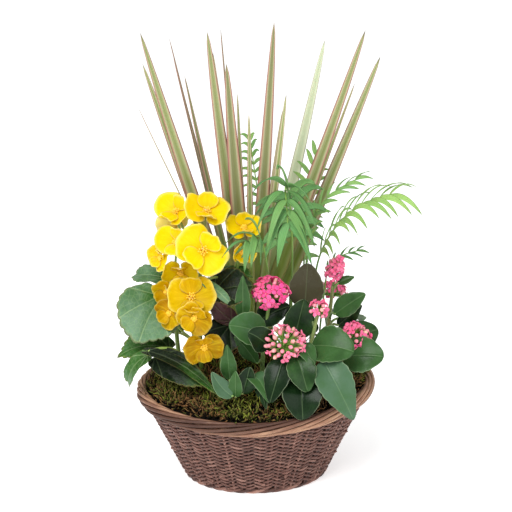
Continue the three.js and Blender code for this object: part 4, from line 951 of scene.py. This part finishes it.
def kalanchoe_leaf_look():
    """Kalanchoe leaf: dark to grey green by its tone, partly painted shade and sheen, glossy, with a groove
    along its middle and a pale edge."""
    finish = Finish("kalanchoe_leaf", specular_ior_level=0.14)
    tint, under, edge = finish.own()
    u = finish.flat()[1]
    across = u.math("ABSOLUTE", u)
    bloom = finish.noise(finish.place(), 55, 3)
    fine = finish.noise(finish.place(), 600, 3)
    tone = (tint + (bloom - 0.5) * 0.6).between(-0.1, 1.15)
    colour = finish.layers(
        finish.mix(tone.between(0.05, 0.6), "021a04", "34572a"),
        (tone.between(0.5, 1.05), "4a6650"),
        ((0 - tint).between(0, 0.4) * 0.8, "524c39"),
        (fine * 0.03, "8fab80"),
        ((1 - across.between(0.1 * mm, 0.9 * mm)) * 0.14, "93b07c"),
        (edge.between(0.95, 1) * 0.4, "a9bb92"),
        (under * 0.4, "6d8a60"),
    )
    relief = fine * 0.2 + across.between(0, 2.4 * mm) * 0.7 + bloom * 0.5
    return finish.done(colour, 0.16 + 0.25 * under + 0.18 * bloom, relief, 0.5 * mm)


leaf, stems, stalks = grown(kalanchoe_shoots, [head[0] for head in heads], 12)
rng = np.random.default_rng(41)
phase = phases(leaf)
length = leaf["length"]
t = np.concatenate([[0, 0.012], np.linspace(0.04, 0.97, 52), [0.988, 1]])[None, :, None]
s_ = np.sin(np.linspace(-0.5, 0.5, 15) * np.pi)[None, None]
scallops = np.abs(np.sin(np.pi * t * np.round(length / (9 * mm))[:, None, None])) ** 0.7
slim = np.clip(1.4 - 1.6 * leaf["width"] / length, 0, 1)[:, None, None]
round_outline = 0.07 + 0.93 * np.sin(np.pi * t**0.8) ** 0.6
slim_outline = 0.05 + 0.95 * np.sin(np.pi * t**0.7)
outline = (1 - slim) * round_outline + slim * slim_outline
outline = outline * (0.955 + 0.06 * scallops * np.sin(np.pi * t))
outline = outline * np.clip(40 * (1 - t), 0, 1) ** 0.5
wave = 0.03 * np.sin(6 * t + phase) * s_**2 + 0.02 * np.sin(11 * t - phase) * s_**3 + 0.02 * np.abs(s_) ** 0.7
points = petals(s_ * outline, t + 0 * s_, leaf, 0.22, wave)
thick = 1.9 * mm * np.clip(np.minimum(t * 25, (1 - t) * 18), 0, 1) ** 0.5 * (1 - s_**4) ** 0.5
grid = leafy(points, thick, t, s_ * outline, leaf, np.abs(s_))
kalanchoe_names = [f"kalanchoe_shoot_{name}" for name in kalanchoe_shoots]
piece("kalanchoe_leaves", [grid], kalanchoe_leaf_look(), "kalanchoe_leaves", *kalanchoe_names)
stem_piece("kalanchoe", 2, 1.5, ("5c7040", "7fa055", "8d6a4c"))


# ---- The parlour palm ----------------------------------------------------------------------------
# Slender arching fronds. Each has a rib with pairs of narrow pleated leaflets that point forwards more
# and more towards its end, and droop at their tips.

# Each frond: the points of its rib, its pairs of leaflets, where the first pair stands, the leaflets'
# length and width, the way it faces, how far they droop, how far the first ones stand out, and its tone.
fronds = {
    "front": (
        [(42, 14, 82), (42, 14, 200), (42, 4, 296), (37, -15, 350), (33, -36, 362), (34, -57, 350),
         (36, -72, 324)],
        11, 0.62, 48, 11, (0, -0.7, 0.7), 0.42, 68, 0.25,
    ),
    "right": (
        [(64, 22, 82), (66, 22, 180), (73, 20, 255), (86, 8, 291), (108, -5, 323), (136, -14, 341),
         (158, -18, 348)],
        11, 0.62, 53, 6.5, (-0.3, -0.3, 1), 0.34, 48, 0.75,
    ),
    "upper": (
        [(60, 12, 82), (58, 8, 220), (64, 10, 302), (78, 15, 330), (101, 22, 347), (121, 28, 356)],
        8, 0.7, 30, 5.5, (-0.3, -0.2, 1), 0.2, 48, 0.5,
    ),
    "small": ([(72, 32, 82), (80, 32, 200), (88, 30, 247), (102, 32, 259), (124, 36, 265)],
        5, 0.8, 20, 4, (-0.2, -0.2, 1), 0.15, 68, 0.3,
    ),
    "left": ([(22, 2, 82), (18, -12, 200), (10, -34, 285), (2, -50, 309), (-12, -64, 304)],
        5, 0.82, 38, 9, (-0.1, -0.6, 0.8), 0.4, 68, 0.3,
    ),
    "tall": ([(22, 66, 82), (14, 92, 240), (0, 108, 330), (-8, 110, 386)],
        9, 0.74, 20, 4, (0, -1, 0.2), 0.45, 68, 0.5,
    ),
    "rear": ([(52, 50, 82), (58, 66, 240), (62, 76, 330), (72, 80, 376)],
        7, 0.74, 28, 5, (0, -1, 0.2), 0.2, 68, 0.6,
    ),
    "back": ([(40, 58, 82), (42, 82, 220), (44, 112, 268), (46, 140, 258), (47, 156, 236)],
        9, 0.5, 40, 9, (0, 0.5, 0.85), 0.3, 68, 0.5,
    ),
}


def palm_look():
    """Palm leaflet: blue green to yellow green by its tone, with fine lines and pleats along it."""
    scatter = {"subsurface_weight": 0.05, "subsurface_scale": 1 * mm}
    finish = Finish("palm_leaflet", specular_ior_level=0.35, **scatter)
    tint, under, _ = finish.own()
    flat, u, _ = finish.flat()
    pleats = (u * 4200).math("SINE", u * 4200)
    lines = finish.noise(finish.stretched(flat, (1500, 60, 1)), 1, 2)
    colour = finish.layers(
        finish.mix((tint + (lines - 0.5) * 0.35).between(0, 1), "47894a", "98bf62"),
        (pleats.between(0.2, 1) * 0.25, "c4d69a"),
        (under * 0.4, "86b070"),
    )
    return finish.done(colour, 0.38 + 0.15 * lines, pleats * 0.5 + lines, 0.3 * mm)


rib_stations = 61
last_pair = 0.98  # where the last pair stands, as a share of the rib
last_open = 30  # how far it stands out, in degrees
leaflet_rows, ribs = [], []
rng = np.random.default_rng(51)
for rib, pairs, first, reach, width, faces, droop, open_, tone in fronds.values():
    path = smooth([(*rib[0][:2], root_depth), *rib], rib_stations)
    ribs.append(path)
    tangents = unit(np.gradient(path, axis=0))
    share = np.linspace(0, 1, pairs)
    station = (first + (last_pair - first) * share) * (rib_stations - 1)
    root, ahead = (
        np.stack([np.interp(station, np.arange(rib_stations), values[:, i]) for i in range(3)], axis=1)
        for values in (path, tangents)
    )
    ahead = unit(ahead)
    sideways = unit(np.cross(ahead, faces))
    length = (reach * (0.5 + 0.7 * np.sin(np.pi * (0.2 + 0.6 * share))))[:, None]
    for hand in (-1, 1):
        angle = np.radians(open_ + (last_open - open_) * share + rng.uniform(-9, 9, pairs))[:, None]
        away = ahead * np.cos(angle) + sideways * hand * np.sin(angle)
        fall = droop * rng.uniform(0.6, 1.25, (pairs, 1))
        tip = root + away * length * rng.uniform(0.85, 1, (pairs, 1)) - up * fall * length
        face = unit(np.cross(tip - root, ahead)) * hand
        arch = up * 0.5 * droop * length
        tones = np.full(pairs, tone) + rng.uniform(-0.12, 0.12, pairs)
        leaflet_rows += list(zip(root, tip, face, np.full(pairs, width * 1.08), arch, tones))

leaflet = leaves_of(leaflet_rows)
t = np.linspace(0, 1, 19)[None, :, None]
s_ = np.linspace(-1, 1, 7)[None, None]
outline = 0.12 + 0.88 * np.sin(np.pi * t**0.62) ** 0.9
outline = outline * np.clip(10 * (1 - t), 0, 1) ** 0.7
phase = phases(leaflet)
wave = 0.05 * np.sin(7 * t + phase) * s_ + 0.03 * np.cos(2.5 * np.pi * s_) * np.sin(np.pi * t)
leaflet_grid = straps(leaflet, t, s_, outline, 0.3, wave, 0.5 * mm)
frond_names = [f"palm_frond_{name}" for name in fronds]
piece("palm_leaflets", [leaflet_grid], palm_look(), "palm_leaves", *frond_names)
rib_radii = np.linspace(1.7, 0.7, rib_stations) * mm
rib_grid = rods(np.array(ribs) * mm, rib_radii, (1, 0.2, 0.1), 7, rng.random(len(ribs)))
piece("palm_ribs", [rib_grid], stem_look("palm_rib", "4f7a38", "7fa84c", "a9b75e"), "palm_leaves")


# ---- The dracaena --------------------------------------------------------------------------------
# One woody cane, ringed by old leaf scars, with a rosette of long stiff blades. Each blade is olive
# green along its middle, cream beside that, and maroon to pink at its margins.

crown_place = (-5, 42)
crown_foot = 122
crown_top = 172
crown_radius = 9
cane_radius = 7

# Each blade: its tip, its width, the way its upper side faces, and its tone from 0, green, to 1, pink.
blades = [
    ((-132, 30, 527), 16, (0.3, -0.9, 0.1), 0.5),
    ((-132, 62, 484), 13, (0.2, -0.9, 0.1), 0.4),
    ((-102, 92, 508), 8, (0.9, -0.3, 0.1), 0.9),
    ((-98, 112, 480), 8, (0.9, -0.4, 0.1), 0.8),
    ((-84, 70, 470), 9, (0.6, -0.8, 0.1), 0.7),
    ((-54, -24, 537), 17, (0.2, -1, 0.1), 0.6),
    ((-42, 118, 514), 7, (0.9, -0.4, 0.1), 0.9),
    ((-33, -22, 501), 19, (0.1, -1, 0.1), 0.7),
    ((-52, 136, 483), 9, (0.2, 0.9, 0.1), 0.5),
    ((-22, 76, 446), 8, (0.4, -0.9, 0.1), 0.4),
    ((-8, -16, 443), 9, (0.1, -1, 0.1), 0.3),
    ((20, -30, 549), 16, (-0.1, -1, 0.1), 0.7),
    ((34, -18, 466), 11, (-0.5, -0.9, 0.1), 0.1),
    ((82, 116, 502), 16, (-0.3, -0.9, 0.1), -0.2),
    ((124, 24, 530), 16, (-0.3, -0.9, 0.1), 0.6),
    ((143, 44, 496), 16, (-0.4, -0.9, 0.1), 0.3),
    ((117, 84, 457), 9, (-0.7, -0.7, 0.1), 0.5),
    ((-134, 20, 439), 6, (0.9, 0.3, 0.1), 0.4),
    ((33, 130, 415), 13, (0, 1, 0.1), 0.4),
    ((70, 140, 425), 12, (0.2, 0.9, 0.1), 0.4),
]


def blade_look():
    """Dracaena blade: an olive middle, a cream stripe on each side of it, and a maroon to pink margin,
    all broken into fine lines that run its whole length."""
    scatter = {"subsurface_weight": 0.04, "subsurface_scale": 1 * mm}
    finish = Finish("dracaena_blade", specular_ior_level=0.45, **scatter)
    tint, under, edge = finish.own()
    flat, _, along = finish.flat()
    lines = finish.noise(finish.stretched(flat, (1800, 3, 1)), 1, 3)
    broad = finish.noise(finish.stretched(flat, (500, 2, 1)), 1, 2)
    where = edge + (lines - 0.5) * 0.5
    olive = finish.mix(broad.between(0.35, 0.65), "71803f", "969c68")
    olive = finish.mix(tint.between(0.5, 0.8) * 0.7, olive, "5c5636")
    colour = finish.layers(
        finish.mix(where.between(0.35, 0.6) * (0.8 - tint * 0.4), olive, "c3c3a0"),
        (where.between(0.5, 0.8) * (tint * 0.7 + 0.3), "a9705f"),
        (where.between(0.8, 1.0) * 0.8, "8a4750"),
        (broad.between(0.52, 0.72) * (tint * 0.5), "4b4a30"),
        ((0 - tint).between(0, 0.2) * 0.6, "c6d0b4"),
        ((1 - along / (200 * mm)).between(0, 0.6) * 0.6, "8ba53c"),
        (under * 0.25, "a3a272"),
    )
    return finish.done(colour, 0.42 + 0.12 * lines, lines, 0.25 * mm)


x, y = crown_place
blade_rows = []
for index, (tip, width, faces, tone) in enumerate(blades):
    share = (index * 7) % len(blades) / len(blades)
    base = np.array([x, y, crown_foot + 6 + (crown_top - crown_foot - 10) * share])
    outwards_k = unit((np.array(tip) - base) * (1, 1, 0))
    blade_rows.append((base + outwards_k * (crown_radius - 3), tip, faces, width, outwards_k * 2, tone))
blade = leaves_of(blade_rows)
t = np.linspace(0, 1, 33)[None, :, None]
s_ = np.linspace(-1, 1, 9)[None, None]
outline = 0.05 + 1.3 * np.minimum(1, 0.55 + 2 * t) * (1 - t) ** 0.56
outline = outline * np.clip(60 * (1 - t), 0, 1)
rng = np.random.default_rng(61)
phase = phases(blade)
wave = 0.12 * np.abs(s_) * outline + 0.03 * np.sin(9 * t + phase) * s_
blade_grid = straps(blade, t, s_, outline, 0, wave, 0.8 * mm)
crown_path = np.linspace((x, y, crown_foot), (x, y, crown_top + 12), 14)[None] * mm
crown_grid = rods(crown_path, crown_radius * mm * np.linspace(0.9, 0.35, 14) ** 0.8, (1, 0, 0), 14, 0.5)
piece("dracaena_blades", [blade_grid, crown_grid], blade_look(), "dracaena_blades", "dracaena_rosette")

cane_look = Finish("dracaena_bark", specular_ior_level=0.25)
bark = cane_look.noise(cane_look.stretched(cane_look.place(), (1, 1, 0.3)), 260, 4)
cane_colour = cane_look.mix(bark.between(0.3, 0.7), "5b4a34", "a08c68")
cane_path = np.linspace((x, y, root_depth), (x, y, crown_foot - 1), 40)[None] * mm
rings = 1 - 0.12 * np.abs(np.sin(np.arange(40) * np.pi / 5)) ** 6
cane_grid = rods(cane_path, cane_radius * mm * rings, (1, 0, 0), 16, 0.5)
bark_look = cane_look.done(cane_colour, 0.9 - 0.1 * bark, bark, 1 * mm)
piece("dracaena_stem", [cane_grid], bark_look, "dracaena_cane", "dracaena_cane")


# ---- The floor, the lights and the camera --------------------------------------------------------
# A plain white floor, soft studio light from all round with a large lamp above on the left, and the
# camera at the photograph's height.

floor_mesh = bpy.data.meshes.new("floor")
floor_mesh.from_pydata([(-9, -9, 0), (9, -9, 0), (9, 12, 0), (-9, 12, 0)], [], [(0, 1, 2, 3)])
floor = bpy.data.objects.new("floor", floor_mesh)
bpy.context.scene.collection.objects.link(floor)
floor_look = Finish("floor_paper", roughness=0.9, specular_ior_level=0.1)
floor_look.put(floor_look.shader, "Base Color", (0.97, 0.97, 0.97, 1))
floor_look.put(floor_look.shader, "Emission Color", (1, 1, 1, 1))
floor_look.put(floor_look.shader, "Emission Strength", 0.45)
floor_mesh.materials.append(floor_look.material)

world = bpy.data.worlds.new("studio")
world.use_nodes = True
world.node_tree.nodes["Background"].inputs["Color"].default_value = (1, 1, 1, 1)
world.node_tree.nodes["Background"].inputs["Strength"].default_value = 0.6
bpy.context.scene.world = world

for name, place, size, power in (("key", (-0.9, -1.7, 2.3), 1.6, 74), ("fill", (1.8, -1.6, 1.2), 1.6, 14)):
    lamp = bpy.data.lights.new(name, "AREA")
    lamp.size = size
    lamp.energy = power
    light = bpy.data.objects.new(name, lamp)
    light.location = place
    aim = Vector((0, 0, 0.2)) - Vector(place)
    light.rotation_euler = aim.to_track_quat("-Z", "Y").to_euler()
    bpy.context.scene.collection.objects.link(light)

bpy.context.scene.view_settings.view_transform = "Standard"

camera = bpy.data.objects.new("camera", bpy.data.cameras.new("camera"))
camera.data.lens = 120.5
camera.data.sensor_width = 36
elevation = math.radians(18)
camera_distance = 2
turned_about = 0.266  # the height that the camera is level with at no elevation
aim = Vector((0, 0, 0.269))
camera_height = turned_about + camera_distance * math.sin(elevation)
camera.location = (0, -camera_distance * math.cos(elevation), camera_height)
camera.rotation_euler = (aim - camera.location).to_track_quat("-Z", "Y").to_euler()
bpy.context.scene.collection.objects.link(camera)
bpy.context.scene.camera = camera
